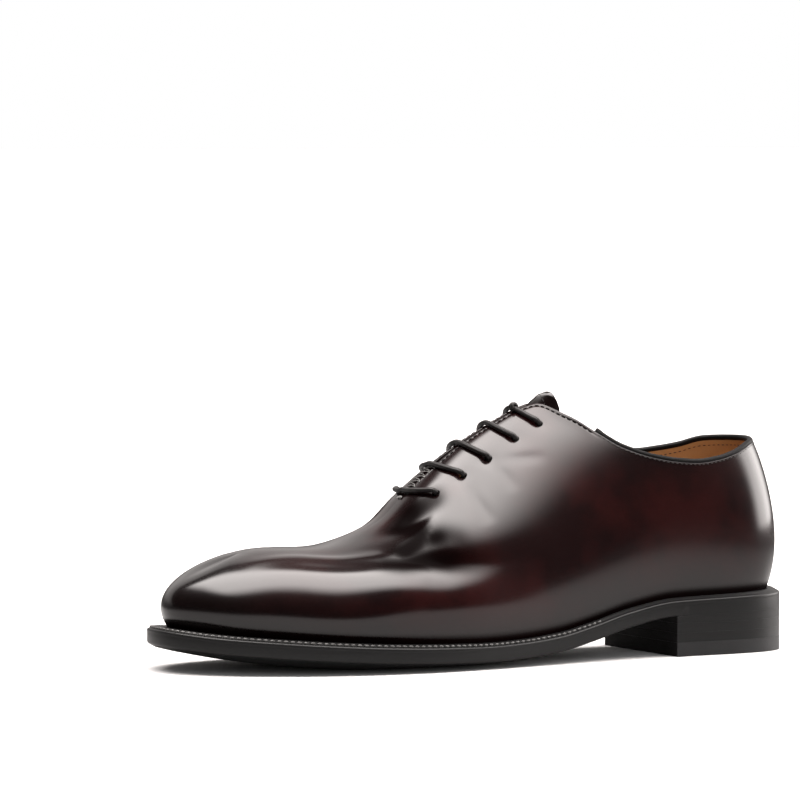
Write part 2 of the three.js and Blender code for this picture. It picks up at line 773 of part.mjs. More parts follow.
function lace() {
  const points = [];
  let from = eyeletsIn[0];
  points.push(insidePoint(from.t, from.v, laceInside), insidePoint(from.t, from.v, UPPER_WALL));
  for (let k = 0; k < EYELETS.length; k += 1) {
    const to = from === eyeletsIn[k] ? eyeletsOut[k] : eyeletsIn[k];
    points.push(...laceBar(k, from, to), insidePoint(to.t, to.v, UPPER_WALL));
    const next = to === eyeletsOut[k] ? eyeletsOut[k + 1] : eyeletsIn[k + 1];
    if (next) {
      points.push(...laceRun(to, next), insidePoint(next.t, next.v, UPPER_WALL));
    } else {
      points.push(insidePoint(to.t, to.v, laceInside));
    }
    from = next;
  }
  return cord(points, LACE_WIDTH, 1);
}

// Bead along the collar's edge, from one side of the instep round the heel to the other
function collarBead() {
  const points = [];
  const rim = (t) => {
    const at = (t + TURN) % TURN;
    const v = upperEnd(at);
    return { normal: lastNormal(at, v), point: insidePoint(at, v, UPPER_WALL / 2) };
  };
  for (let k = 0; k <= BEAD_STEPS; k += 1) {
    const t = THREE.MathUtils.lerp(BEAD_RIB, -BEAD_RIB, k / BEAD_STEPS);
    const { normal, point } = rim(t);
    const forward = rim(t - 0.02).point.sub(rim(t + 0.02).point).normalize();
    const up = forward.cross(normal).normalize();
    points.push(point.addScaledVector(up, Math.sign(up.z) * (BEAD_GAP + BEAD_WIDTH / 2)));
  }
  return cord(points, BEAD_WIDTH, 1);
}

function material(color, roughness) {
  return new THREE.MeshStandardMaterial({ color, roughness });
}

const upperLeather = material(0x35191a, 0.3);
const edgeLeather = material(0x161213, 0.4);
const liningLeather = material(0xa5673a, 0.7);
const rubber = material(0x151515, 0.8);
const waxedCord = material(0x15110f, 0.6);
const bindingLeather = material(0x120e0f, 0.5);

const pieces = [
  ['heel_top_piece', heelSlab(flat(0), flat(TOP_PIECE_HEIGHT)), rubber],
  ['heel_lift_1', heelSlab(flat(liftBottom(0)), flat(liftBottom(0) + LIFT_HEIGHT)), edgeLeather],
  ['heel_lift_2', heelSlab(flat(liftBottom(1)), flat(liftBottom(1) + LIFT_HEIGHT)), edgeLeather],
  ['heel_lift_3', heelSlab(flat(liftBottom(2)), (x) => edgeBottom(x) - GAP), edgeLeather],
  ['outsole', outsole(), edgeLeather],
  ['welt', welt(), edgeLeather],
  ['insole', insole(), liningLeather],
  ['upper', punched(upperShell()), upperLeather],
  ['collar_binding', collarBead(), bindingLeather],
  ['tongue', tongue(), upperLeather],
  ['lace', lace(), waxedCord],
];

// The origin is the middle of the shoe's box, on the floor
const whole = mergeGeometries(pieces.map(([, geometry]) => welded(geometry).toNonIndexed()));
whole.computeBoundingBox();
const middle = whole.boundingBox.getCenter(new THREE.Vector3());

const shoe = new THREE.Group();
shoe.name = 'oxford_shoe';
for (const [name, geometry, look] of pieces) {
  geometry.translate(-middle.x, -middle.y, 0);
  const mesh = new THREE.Mesh(geometry, look);
  mesh.name = name;
  shoe.add(mesh);
}

export default shoe;
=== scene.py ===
import math
import bpy
import bmesh
import numpy as np
from mathutils import Matrix, Vector, kdtree


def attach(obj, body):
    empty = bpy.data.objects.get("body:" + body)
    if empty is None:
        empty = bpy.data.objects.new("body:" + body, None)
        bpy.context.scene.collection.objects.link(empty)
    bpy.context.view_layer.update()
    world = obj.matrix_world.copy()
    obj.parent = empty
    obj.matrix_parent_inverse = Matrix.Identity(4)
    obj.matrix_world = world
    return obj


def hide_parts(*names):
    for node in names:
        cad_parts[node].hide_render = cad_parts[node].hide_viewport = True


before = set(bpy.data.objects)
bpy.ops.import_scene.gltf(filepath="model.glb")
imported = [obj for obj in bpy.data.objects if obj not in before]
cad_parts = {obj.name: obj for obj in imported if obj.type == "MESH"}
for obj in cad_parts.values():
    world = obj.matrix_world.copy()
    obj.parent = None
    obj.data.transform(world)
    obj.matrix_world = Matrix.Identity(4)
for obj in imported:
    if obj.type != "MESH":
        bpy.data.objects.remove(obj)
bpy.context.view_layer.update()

# The studio. A pale floor runs into a white backdrop behind the shoe, the front of the room is dark,
# and the lights are broad and soft, so that polished leather shows them as long bands. The camera
# looks along a long lens from just above the floor at the outer side of the shoe.
CAMERA_TURN = math.radians(28)
CAMERA_RISE = math.radians(4.2)
CAMERA_DISTANCE = 2.5
LENS_PIXELS = 5665
PICTURE = 800
SENSOR = 36
AIM_AT = (150, 0, 50)
AIM_PIXEL = (474.2, 546.2)

# The shoe is measured in millimetres from the back of its heel, along x to the toe, y to the outer
# side and z up from the floor. The frame starts at the middle of its outline, which lies here.
MIDDLE = Vector((150.5, -0.75, 0))

scene = bpy.context.scene
scene.view_settings.view_transform = "Standard"

back = Vector((
    math.sin(CAMERA_TURN) * math.cos(CAMERA_RISE),
    math.cos(CAMERA_TURN) * math.cos(CAMERA_RISE),
    math.sin(CAMERA_RISE),
))
right = Vector((-math.cos(CAMERA_TURN), math.sin(CAMERA_TURN), 0))
up = back.cross(right)
lens = bpy.data.cameras.new("camera")
lens.sensor_width = SENSOR
lens.lens = LENS_PIXELS * SENSOR / PICTURE
lens.shift_x = (PICTURE / 2 - AIM_PIXEL[0]) / PICTURE
lens.shift_y = (AIM_PIXEL[1] - PICTURE / 2) / PICTURE
lens.clip_end = 200
camera = bpy.data.objects.new("camera", lens)
scene.collection.objects.link(camera)
spot = (Vector(AIM_AT) - MIDDLE) / 1000 + back * CAMERA_DISTANCE
camera.matrix_world = Matrix.Translation(spot) @ Matrix((right, up, back)).transposed().to_4x4()
scene.camera = camera

world = bpy.data.worlds.new("studio")
scene.world = world
world.use_nodes = True
room = world.node_tree
room.nodes.clear()


def add_node(tree, kind, **settings):
    """New node; a setting is an attribute of it, or the value of its input socket of that name."""
    node = tree.nodes.new(kind)
    for key, value in settings.items():
        if hasattr(node, key):
            setattr(node, key, value)
        else:
            node.inputs[key.replace("_", " ")].default_value = value
    return node


def ramp(tree, value, start, end, low=0.0, high=1.0):
    """Smooth passage from one value to another while the input goes from start to end."""
    node = add_node(tree, "ShaderNodeMapRange", interpolation_type="SMOOTHSTEP")
    for socket, number in zip(node.inputs[1:5], (start, end, low, high)):
        socket.default_value = number
    tree.links.new(value, node.inputs["Value"])
    return node.outputs["Result"]


def maths(tree, operation, *values):
    """Math node on sockets and plain numbers."""
    node = add_node(tree, "ShaderNodeMath", operation=operation)
    for socket, value in zip(node.inputs, values):
        if isinstance(value, (int, float)):
            socket.default_value = value
        else:
            tree.links.new(value, socket)
    return node.outputs[0]


def window(tree, value, low, high, edge, far_edge=None):
    """One between low and high, nothing outside, with soft edges."""
    far_edge = far_edge or edge
    rise = ramp(tree, value, low - edge, low + edge)
    fall = ramp(tree, value, high - far_edge, high + far_edge, 1.0, 0.0)
    return maths(tree, "MULTIPLY", rise, fall)


# A long softbox overhead, a tall one beyond the heel, a pale wall behind and a dim front. The
# overhead one's reach is measured across its height, and the others by their turn from the front.
# Each window: its low end, its high end, how soft they are, and the high end's softness if it
# differs. The wall fades in along its turn, and with height from a share of its strength to all.
OVERHEAD_ACROSS = (-0.76, 0.9, 0.14, 0.8)
OVERHEAD_FORWARD = (-0.46, 0.54, 0.13, 0.28)
OVERHEAD_STRENGTH = 10.5
HEEL_LIGHT_TURN = (1.62, 2.42, 0.12, 0.3)
HEEL_LIGHT_RISE = (-0.2, 0.5, 0.12)
HEEL_LIGHT_STRENGTH = 7.0
WALL_TURN = (2.28, 2.46)
WALL_RISE = (0.02, 0.3, 0.15, 1.0)
WALL_STRENGTH = 0.8
ROOM_STRENGTH = 0.025
LEAST_HEIGHT = 0.05
WARM_LIGHT = (1.0, 0.945, 0.92, 1)
WHITE = (1.0, 1.0, 1.0, 1)

direction = add_node(room, "ShaderNodeTexCoord").outputs["Generated"]


def share_along(vector):
    node = add_node(room, "ShaderNodeVectorMath", operation="DOT_PRODUCT")
    node.inputs[1].default_value = vector
    room.links.new(direction, node.inputs[0])
    return node.outputs["Value"]


to_right = share_along(right)
to_front = share_along((math.sin(CAMERA_TURN), math.cos(CAMERA_TURN), 0))
to_top = share_along((0, 0, 1))
above = maths(room, "MAXIMUM", to_top, LEAST_HEIGHT)
overhead = maths(
    room, "MULTIPLY",
    window(room, maths(room, "DIVIDE", to_right, above), *OVERHEAD_ACROSS),
    window(room, maths(room, "DIVIDE", to_front, above), *OVERHEAD_FORWARD),
)
beyond_heel = maths(
    room, "MULTIPLY",
    window(room, maths(room, "ARCTAN2", to_right, to_front), *HEEL_LIGHT_TURN),
    window(room, to_top, *HEEL_LIGHT_RISE),
)
wall_behind = maths(
    room, "MULTIPLY",
    ramp(room, maths(room, "ARCTAN2", to_top, to_front), *WALL_TURN),
    ramp(room, to_top, *WALL_RISE),
)
glow = maths(room, "MULTIPLY", overhead, OVERHEAD_STRENGTH)
glow = maths(room, "MULTIPLY_ADD", beyond_heel, HEEL_LIGHT_STRENGTH, glow)
glow = maths(room, "MULTIPLY_ADD", wall_behind, WALL_STRENGTH, glow)
glow = maths(room, "ADD", glow, ROOM_STRENGTH)

# The camera itself sees plain white beyond the floor
seen = add_node(room, "ShaderNodeLightPath").outputs["Is Camera Ray"]
unseen_glow = maths(room, "MULTIPLY", maths(room, "SUBTRACT", 1.0, seen), glow)
strength = maths(room, "MULTIPLY_ADD", seen, 1.0, unseen_glow)


def blended(tree, share, low, high):
    """Colour between two others, each a plain colour or a socket, by a share."""
    node = add_node(tree, "ShaderNodeMix", data_type="RGBA")
    tree.links.new(share, node.inputs[0])
    for socket, colour in zip(node.inputs[6:8], (low, high)):
        if isinstance(colour, tuple):
            socket.default_value = colour
        else:
            tree.links.new(colour, socket)
    return node.outputs[2]


light_out = add_node(room, "ShaderNodeBackground")
room.links.new(blended(room, seen, WARM_LIGHT, WHITE), light_out.inputs["Color"])
room.links.new(strength, light_out.inputs["Strength"])
room_out = add_node(room, "ShaderNodeOutputWorld")
room.links.new(light_out.outputs[0], room_out.inputs["Surface"])

# A weak fill from the camera's side, which lights the lining and is kept out of the polish
FILL_WIDTH = 1.8
FILL_HEIGHT = 1.0
FILL_POWER = 14
FILL_PLACE = (0.35, 1.45, 0.5)
fill = bpy.data.lights.new("front_fill", "AREA")
fill.shape = "RECTANGLE"
fill.size = FILL_WIDTH
fill.size_y = FILL_HEIGHT
fill.energy = FILL_POWER
fill_light = bpy.data.objects.new("front_fill", fill)
scene.collection.objects.link(fill_light)
fill_light.location = FILL_PLACE
fill_light.rotation_euler = (-fill_light.location).to_track_quat("-Z", "Y").to_euler()
fill_light.visible_glossy = False
fill_light.visible_camera = False

# Away from the shoe the floor is kept dark for the polish only, so that the shoe's outline stays
# dark: from one distance to another its tone falls from the third number to the fourth.
FLOOR_SIZE = 120
FLOOR_TONE = 0.6
FLOOR_TONE_IN_POLISH = (0.16, 0.7, 0.30, 0.02)
FLOOR_TONE_AS_LIGHT = 0.25

bpy.ops.object.select_all(action="DESELECT")
bpy.ops.mesh.primitive_plane_add(size=FLOOR_SIZE, location=(0, 0, 0))
floor = bpy.context.object
floor.name = "floor"
paint = bpy.data.materials.new("floor_paint")
paint.use_nodes = True
matt = paint.node_tree.nodes["Principled BSDF"]
matt.inputs["Roughness"].default_value = 0.9
matt.inputs["Specular IOR Level"].default_value = 0.1
tree = paint.node_tree
place = add_node(tree, "ShaderNodeTexCoord").outputs["Object"]
away = add_node(tree, "ShaderNodeVectorMath", operation="LENGTH")
tree.links.new(place, away.inputs[0])
seen_by = add_node(tree, "ShaderNodeLightPath")
near = ramp(tree, away.outputs["Value"], *FLOOR_TONE_IN_POLISH)
darker = maths(tree, "SUBTRACT", near, FLOOR_TONE)
lit = maths(tree, "MULTIPLY_ADD", seen_by.outputs["Is Glossy Ray"], darker, FLOOR_TONE)
lit = maths(tree, "MULTIPLY_ADD", seen_by.outputs["Is Diffuse Ray"], FLOOR_TONE_AS_LIGHT - FLOOR_TONE, lit)
tone = add_node(tree, "ShaderNodeCombineColor")
for socket in tone.inputs[:3]:
    tree.links.new(lit, socket)
tree.links.new(tone.outputs[0], matt.inputs["Base Color"])
floor.data.materials.append(paint)

# The upper is one piece of calf, pulled wet over the last, lined with tan leather and closed under
# the foot, so its shape is the last's: a ring of ribs from the welt up to the ridge of the instep.
# Its facings are cut apart along that ridge, and five pairs of holes are punched beside the cut.
LENGTH = 301
HALF_WIDTH = 52
TOP_RISE = 93.6
HEEL_HEIGHT = 19.5
HEEL_LENGTH = 66
TOE_SPRING = 12.2
TREAD_LIFT = 3.2
EDGE_HEIGHT = 8.5
WALL = 2.2
GAP = 0.3
CORNER_ROUND = 6


def table(names, rows):
    return dict(zip(names.split(), np.array(rows, float).T))


# Edge of the sole from the heel back to the toe tip: place along, outer reach, inner reach
EDGE = table("x out inn", [
    [-0.003, 0.000, 0.000],
    [0.006, 0.365, -0.365],
    [0.051, 0.596, -0.596],
    [0.133, 0.644, -0.635],
    [0.219, 0.644, -0.615],
    [0.316, 0.698, -0.567],
    [0.415, 0.798, -0.596],
    [0.515, 0.903, -0.731],
    [0.605, 0.993, -0.894],
    [0.691, 1.000, -1.000],
    [0.777, 0.914, -1.029],
    [0.857, 0.753, -0.981],
    [0.930, 0.514, -0.846],
    [0.986, 0.172, -0.596],
    [1.007, -0.154, -0.154],
])

# Ribs of the last, row for row with EDGE: foot, ridge, its rise, swell of each side beyond the
# foot, where it swells, how much of the wall stands above that, and how flat each side is on top
LAST = table("x out inn topX topY rise swellOut swellIn swellAt wall flatOut flatIn", [
    [0.011, 0.000, 0.000, 0.123, 0.000, 0.957, 0.096, 0.096, 0.28, 0.30, 0.55, 0.55],
    [0.028, 0.327, -0.327, 0.130, 0.000, 0.959, 0.096, 0.096, 0.28, 0.30, 0.55, 0.55],
    [0.062, 0.531, -0.538, 0.143, 0.000, 0.962, 0.096, 0.096, 0.28, 0.34, 0.60, 0.60],
    [0.133, 0.587, -0.577, 0.173, 0.000, 0.978, 0.087, 0.077, 0.28, 0.42, 0.66, 0.66],
    [0.219, 0.587, -0.558, 0.226, 0.000, 1.000, 0.106, 0.096, 0.28, 0.50, 0.66, 0.66],
    [0.316, 0.635, -0.510, 0.306, -0.005, 1.050, 0.106, 0.125, 0.28, 0.40, 0.46, 0.46],
    [0.415, 0.721, -0.538, 0.392, -0.012, 1.084, 0.096, 0.144, 0.28, 0.28, 0.30, 0.32],
    [0.515, 0.827, -0.663, 0.475, -0.020, 0.980, 0.087, 0.125, 0.28, 0.26, 0.25, 0.27],
    [0.605, 0.904, -0.808, 0.565, -0.030, 0.814, 0.077, 0.087, 0.30, 0.30, 0.25, 0.27],
    [0.691, 0.904, -0.904, 0.651, -0.056, 0.523, 0.077, 0.077, 0.32, 0.36, 0.33, 0.36],
    [0.776, 0.808, -0.923, 0.726, -0.094, 0.400, 0.077, 0.077, 0.34, 0.39, 0.41, 0.42],
    [0.851, 0.644, -0.875, 0.792, -0.125, 0.382, 0.077, 0.077, 0.35, 0.39, 0.48, 0.46],
    [0.916, 0.423, -0.750, 0.839, -0.135, 0.366, 0.077, 0.077, 0.36, 0.39, 0.53, 0.48],
    [0.954, 0.125, -0.519, 0.867, -0.144, 0.348, 0.077, 0.077, 0.36, 0.37, 0.55, 0.47],
    [0.984, -0.154, -0.154, 0.879, -0.154, 0.317, 0.077, 0.077, 0.36, 0.35, 0.57, 0.48],
])

# Underside of the sole: shares of heel height and toe spring at the edge and along the middle
UNDERSIDE = table("x heel toe midHeel midToe", [
    [0.00, 1.000, 0.000, 1.000, 0.000],
    [0.10, 0.953, 0.000, 0.960, 0.000],
    [0.22, 0.901, 0.000, 0.915, 0.000],
    [0.30, 0.676, 0.000, 0.690, 0.000],
    [0.365, 0.378, 0.000, 0.395, 0.000],
    [0.43, 0.136, 0.000, 0.155, 0.000],
    [0.50, 0.027, 0.000, 0.040, 0.000],
    [0.55, 0.000, 0.000, 0.000, 0.000],
    [0.63, 0.000, 0.055, 0.000, 0.000],
    [0.715, 0.000, 0.160, 0.000, 0.000],
    [0.80, 0.000, 0.320, 0.000, 0.110],
    [0.88, 0.000, 0.510, 0.000, 0.330],
    [0.95, 0.000, 0.710, 0.000, 0.620],
    [1.01, 0.000, 1.000, 0.000, 0.980],
])

# Height of the collar's edge above the seat, as a share of TOP_RISE, on both sides
COLLAR = table("x out inn", [
    [0.00, 0.715, 0.715],
    [0.04, 0.708, 0.708],
    [0.07, 0.694, 0.700],
    [0.105, 0.655, 0.668],
    [0.14, 0.629, 0.650],
    [0.175, 0.618, 0.640],
    [0.21, 0.626, 0.640],
    [0.25, 0.648, 0.656],
    [0.30, 0.701, 0.705],
    [0.33, 0.762, 0.762],
    [0.36, 0.836, 0.836],
    [0.385, 0.886, 0.886],
    [0.405, 0.960, 0.960],
    [0.45, 1.250, 1.250],
])

# Width of the slot between the facings
SLOT = table("x width", [
    [0.34, 24.0],
    [0.385, 11.0],
    [0.41, 6.0],
    [0.435, 2.8],
    [0.47, 2.0],
    [0.53, 1.9],
    [0.575, 3.6],
    [0.600, 2.4],
    [0.617, 0.0],
    [1.01, 0.0],
])

# Eyelet pairs, front to back: rib, and reach from the ridge as a share of half the width
EYELETS = [(8.12, 0.377), (7.62, 0.412), (7.14, 0.400), (6.62, 0.358), (6.16, 0.323)]
EYELET_WIDTH = 3.6

# Ribs where the collar's binding ends and where the slot ends
BINDING_END_RIB = 5.26
SLOT_END_RIB = 8.6


def along(rows, key, x):
    """Value of a table's column at x, by monotone cubic interpolation."""
    xs, ys = rows["x"], rows[key]
    secant = np.diff(ys) / np.diff(xs)
    product = secant[:-1] * secant[1:]
    total = np.where(product > 0, secant[:-1] + secant[1:], 1.0)
    inner = np.where(product > 0, 2 * product / total, 0.0)
    slope = np.concatenate([secant[:1], inner, secant[-1:]])
    at = np.clip(x, xs[0], xs[-1])
    i = np.clip(np.searchsorted(xs, at) - 1, 0, len(xs) - 2)
    span = xs[i + 1] - xs[i]
    f = (at - xs[i]) / span
    rise = f * f * (3 - 2 * f)
    start = f * (1 - f) ** 2 * span * slope[i]
    end = f * f * (f - 1) * span * slope[i + 1]
    return ys[i] * (1 - rise) + ys[i + 1] * rise + start + end


def edge_bottom(x):
    heel = along(UNDERSIDE, "heel", x / LENGTH)
    toe = along(UNDERSIDE, "toe", x / LENGTH)
    return heel * HEEL_HEIGHT + toe * TOE_SPRING + (1 - heel - toe) * TREAD_LIFT


def middle_bottom(x):
    heel = along(UNDERSIDE, "midHeel", x / LENGTH)
    toe = along(UNDERSIDE, "midToe", x / LENGTH)
    return np.minimum(heel * HEEL_HEIGHT + toe * TOE_SPRING, edge_bottom(x))


def welt_top(x):
    return edge_bottom(x) + EDGE_HEIGHT


SEAT = float(welt_top(0))
TOE_ROW = len(LAST["x"]) - 1
TURN = 2 * TOE_ROW


def ring(out, inn):
    """Closed ring of rows: heel back, outer side, toe tip, inner side."""
    return np.concatenate([out, inn[-2:0:-1]])


def ring_point(controls, t):
    """Point of the smooth closed curve that the rows steer."""
    start = np.floor(t).astype(int)
    f = (t - start)[..., None]
    n = len(controls)
    weights = [(1 - f) ** 3, 3 * f ** 3 - 6 * f ** 2 + 4, -3 * f ** 3 + 3 * f ** 2 + 3 * f + 1, f ** 3]
    return sum(w / 6 * controls[(start + k - 1) % n] for k, w in enumerate(weights))


def on_ground(x, y):
    return np.stack([x * LENGTH, y * HALF_WIDTH, np.zeros_like(x)], axis=1)


EDGE_RING = ring(on_ground(EDGE["x"], EDGE["out"]), on_ground(EDGE["x"], EDGE["inn"]))


def rib_controls(side, swell, flat):
    foot = on_ground(LAST["x"], LAST[side])
    foot[:, 2] = welt_top(foot[:, 0])
    ridge = on_ground(LAST["topX"], LAST["topY"])
    ridge[:, 2] = foot[:, 2] + LAST["rise"] * TOP_RISE
    behind = np.concatenate([ridge[:1], ridge[:-1]])
    ahead = np.concatenate([ridge[1:], ridge[-1:]])
    slope = (ahead[:, 2] - behind[:, 2]) / (ahead[:, 0] - behind[:, 0])
    out = (foot - ridge) * (1, 1, 0)
    reach = np.linalg.norm(out, axis=1)
    out /= reach[:, None]
    height = ridge[:, 2] - foot[:, 2]

    def place(distance, share, lift=0.0):
        point = ridge + out * distance[:, None]
        point[:, 2] = foot[:, 2] + share * height + lift
        return point

    swelled = reach + LAST[swell] * HALF_WIDTH
    high = LAST["swellAt"] + LAST["wall"] * (1 - LAST["swellAt"])
    shoulder = LAST[flat] * reach
    return [
        foot,
        place(swelled, LAST["swellAt"] / 2),
        place(swelled, high),
        place(shoulder, 1.0, slope * out[:, 0] * shoulder),
        ridge,
    ]


RIB_RINGS = [
    ring(out, inn)
    for out, inn in zip(rib_controls("out", "swellOut", "flatOut"), rib_controls("inn", "swellIn", "flatIn"))
]


def rib_weights(v):
    """Weights of a rib's five control points at height share v."""
    knots = np.array([0, 0, 0, 0, 0.5, 1, 1, 1, 1])
    at = np.minimum(v, 1 - 1e-9)
    basis = [((knots[k] <= at) & (at < knots[k + 1])).astype(float) for k in range(8)]
    for degree in (1, 2, 3):
        following = []
        for k in range(len(basis) - 1):
            left = knots[k + degree] - knots[k]
            right = knots[k + degree + 1] - knots[k + 1]
            rising = (at - knots[k]) / left * basis[k] if left > 0 else 0.0
            falling = (knots[k + degree + 1] - at) / right * basis[k + 1] if right > 0 else 0.0
            following.append(rising + falling)
        basis = following
    return basis


def last_point(t, v):
    """Point of the last on rib t at height share v."""
    t, v = np.broadcast_arrays(np.asarray(t, float), np.asarray(v, float))
    controls = [ring_point(points, t % TURN) for points in RIB_RINGS]
    lift = welt_top(controls[0][..., 0]) + GAP - controls[0][..., 2]
    controls[0][..., 2] += lift
    controls[1][..., 2] += lift / 2
    return sum(w[..., None] * point for w, point in zip(rib_weights(v), controls))


def unit(vectors):
    return vectors / np.maximum(np.linalg.norm(vectors, axis=-1, keepdims=True), 1e-12)


def side_normal(t, v):
    step = 0.01
    low = np.clip(v - step, 0, 1)
    high = np.clip(v + step, 0, 1)
    around = last_point(t + step, v) - last_point(t - step, v)
    return unit(np.cross(last_point(t, high) - last_point(t, low), around))


def last_normal(t, v):
    """Outward normal of the last; on the ridge both sides share it."""
    t, v = np.broadcast_arrays(np.asarray(t, float), np.asarray(v, float))
    normal = side_normal(t, v)
    shared = unit(side_normal(t, np.ones_like(v)) + side_normal(TURN - t, np.ones_like(v)))
    return np.where((v >= 1)[..., None], shared, normal)


def coverage(t, v):
    """How far a point lies inside the collar's edge and the slot."""
    point = last_point(t, v)
    x = point[..., 0] / LENGTH
    lateral = (np.asarray(t, float) % TURN <= TOE_ROW) & np.ones_like(x, bool)
    collar = np.where(lateral, along(COLLAR, "out", x), along(COLLAR, "inn", x))
    below = SEAT + collar * TOP_RISE - point[..., 2]
    ridge = last_point(t, np.ones_like(x))
    beside = np.abs(point[..., 1] - ridge[..., 1]) - along(SLOT, "width", x) / 2
    blend = np.maximum(CORNER_ROUND - np.abs(below - beside), 0) / CORNER_ROUND
    both = np.minimum(below, beside) - blend ** 2 * CORNER_ROUND / 4
    return np.where(x < SLOT["x"][0], below, both)


def covered_up_to(t, margin=0.0):
    """Height share at which rib t comes within a margin of the upper's edge."""
    t = np.asarray(t, float)
    lowest, step = 0.3, 0.0125
    shares = np.arange(lowest, 1 + step, step)
    inside = coverage(t[:, None], np.minimum(shares, 1)[None, :]) > margin
    first = np.argmin(inside, axis=1)
    never = inside.all(axis=1)
    low = shares[np.maximum(first - 1, 0)]
    high = shares[first]
    for _ in range(26):
        middle = (low + high) / 2
        holds = coverage(t, np.minimum(middle, 1)) > margin
        low = np.where(holds, middle, low)
        high = np.where(holds, high, middle)
    return np.where(never, 1.0, np.minimum(low, 1.0))


def slot_closed(t):
    return along(SLOT, "width", last_point(t, np.ones_like(t))[..., 0] / LENGTH) <= 0


def rib_lengths(t, top, steps=240):
    """Shares from the top of each rib to its foot, and the distance walked to each."""
    shares = top[:, None] * (1 - np.linspace(0, 1, steps + 1))[None, :]
    points = last_point(t[:, None], shares)
    walked = np.linalg.norm(np.diff(points, axis=1), axis=2).cumsum(axis=1)
    return shares, np.concatenate([np.zeros((len(t), 1)), walked], axis=1)


def share_at(t, reach):
    """Height share on rib t at a distance from the ridge along the leather."""
    t = np.atleast_1d(np.asarray(t, float))
    shares, walked = rib_lengths(t, np.ones_like(t), 800)
    reach = np.broadcast_to(reach, t.shape)
    return np.array([np.interp(r, w, s) for r, w, s in zip(reach, walked, shares)])


def off_last(t, v, depth):
    """Point at a depth below the last's face."""
    return last_point(t, v) - last_normal(t, v) * np.asarray(depth, float)[..., None]


def to_metres(points):
    return (np.asarray(points, float) - np.array(MIDDLE)) / 1000


def new_mesh(name, points, faces):
    """Object from points in millimetres and faces, smooth shaded."""
    mesh = bpy.data.meshes.new(name)
    mesh.from_pydata(to_metres(points).tolist(), [], faces)
    mesh.update()
    piece = bpy.data.objects.new(name, mesh)
    scene.collection.objects.link(piece)
    mesh.shade_smooth()
    return piece


def select_only(piece):
    bpy.ops.object.select_all(action="DESELECT")
    piece.select_set(True)
    bpy.context.view_layer.objects.active = piece


def cleaned(piece, distance):
    """Welds corners closer than a distance in millimetres and drops loose points."""
    select_only(piece)
    bpy.ops.object.mode_set(mode="EDIT")
    bpy.ops.mesh.select_all(action="SELECT")
    bpy.ops.mesh.remove_doubles(threshold=distance / 1000)
    bpy.ops.mesh.delete_loose(use_verts=True, use_edges=True, use_faces=False)
    bpy.ops.mesh.select_all(action="SELECT")
    bpy.ops.mesh.normals_make_consistent(inside=False)
    bpy.ops.object.mode_set(mode="OBJECT")


# The upper's face is a net of points: ribs round the shoe, rows up each, closer along the rim
RIBS_PER_ROW = 14
RIM_ROUND = 0.45
RIM_BAND = 6.0
RIM_ROWS = 20
WALL_ROWS = 62

rib_t = np.arange(TURN * RIBS_PER_ROW) / RIBS_PER_ROW
rib_closed = slot_closed(rib_t)
rib_top = np.where(rib_closed, 1.0, covered_up_to(rib_t))
rounding = np.where(rib_closed, 0.0, RIM_ROUND)
shares, walked = rib_lengths(rib_t, rib_top)
near_rim = np.linspace(0, RIM_BAND, RIM_ROWS + 1)
rows = []
for i in range(len(rib_t)):
    low_rows = np.linspace(RIM_BAND, walked[i, -1], WALL_ROWS + 1)[1:]
    distances = np.concatenate([rounding[i] + near_rim * (1 - rounding[i] / RIM_BAND), low_rows])
    rows.append(np.interp(distances, walked[i], shares[i]))
skin_v = np.array(rows)[:, ::-1]
skin_v[:, 0] = 0.0
skin_v[rib_closed, -1] = 1.0
skin_t = np.broadcast_to(rib_t[:, None], skin_v.shape)
skin = last_point(skin_t, skin_v)
skin_normal = last_normal(skin_t, skin_v)

# Eyelets as (rib, height share), outer side then inner side
eyelets_out = [(t, share_at(t, reach * HALF_WIDTH)[0]) for t, reach in EYELETS]
eyelets_in = [(TURN - t, share_at(TURN - t, reach * HALF_WIDTH)[0]) for t, reach in EYELETS]


def spot_on(t, reach):
    """Point on the leather of rib t at a distance from the ridge."""
    return last_point(t, share_at(t, reach)[0])


def dent(points, centre, radius, depth):
    distance = np.linalg.norm(points - centre, axis=-1)
    return -depth * np.exp(-(distance / radius) ** 2)


def smooth_path(points, steps):
    """Centripetal curve through points, with the same number of steps between each two."""
    points = np.array(points)
    points = np.concatenate([[2 * points[0] - points[1]], points, [2 * points[-1] - points[-2]]])
    path = []
    for k in range(len(points) - 3):
        p = points[k:k + 4]
        knots = np.concatenate([[0], np.sqrt(np.linalg.norm(np.diff(p, axis=0), axis=1)).cumsum()])
        for s in np.arange(steps) / steps:
            x = knots[1] + (knots[2] - knots[1]) * s
            level = p
            for degree in (1, 2, 3):
                level = [
                    (level[i] * (knots[i + degree] - x) + level[i + 1] * (x - knots[i]))
                    / (knots[i + degree] - knots[i])
                    for i in range(len(level) - 1)
                ]
            path.append(level[0])
    path.append(points[-2])
    return np.array(path)


def trough(points, spots, width, power):
    """Trough through (rib, reach, depth) spots; the lower the power, the sharper its bottom."""
    path = smooth_path([[*spot_on(t, reach), depth] for t, reach, depth in spots], 5)
    nearest = np.full(points.shape[:-1], 1e9)
    depth = np.zeros(points.shape[:-1])
    for k in range(len(path) - 1):
        start, run = path[k, :3], path[k + 1, :3] - path[k, :3]
        f = np.clip(((points - start) @ run) / (run @ run), 0, 1)
        distance = np.linalg.norm(points - start - f[..., None] * run, axis=-1)
        closer = distance < nearest
        nearest = np.where(closer, distance, nearest)
        depth = np.where(closer, path[k, 3] + (path[k + 1, 3] - path[k, 3]) * f, depth)
    return -depth * np.exp(-(nearest / width) ** power)


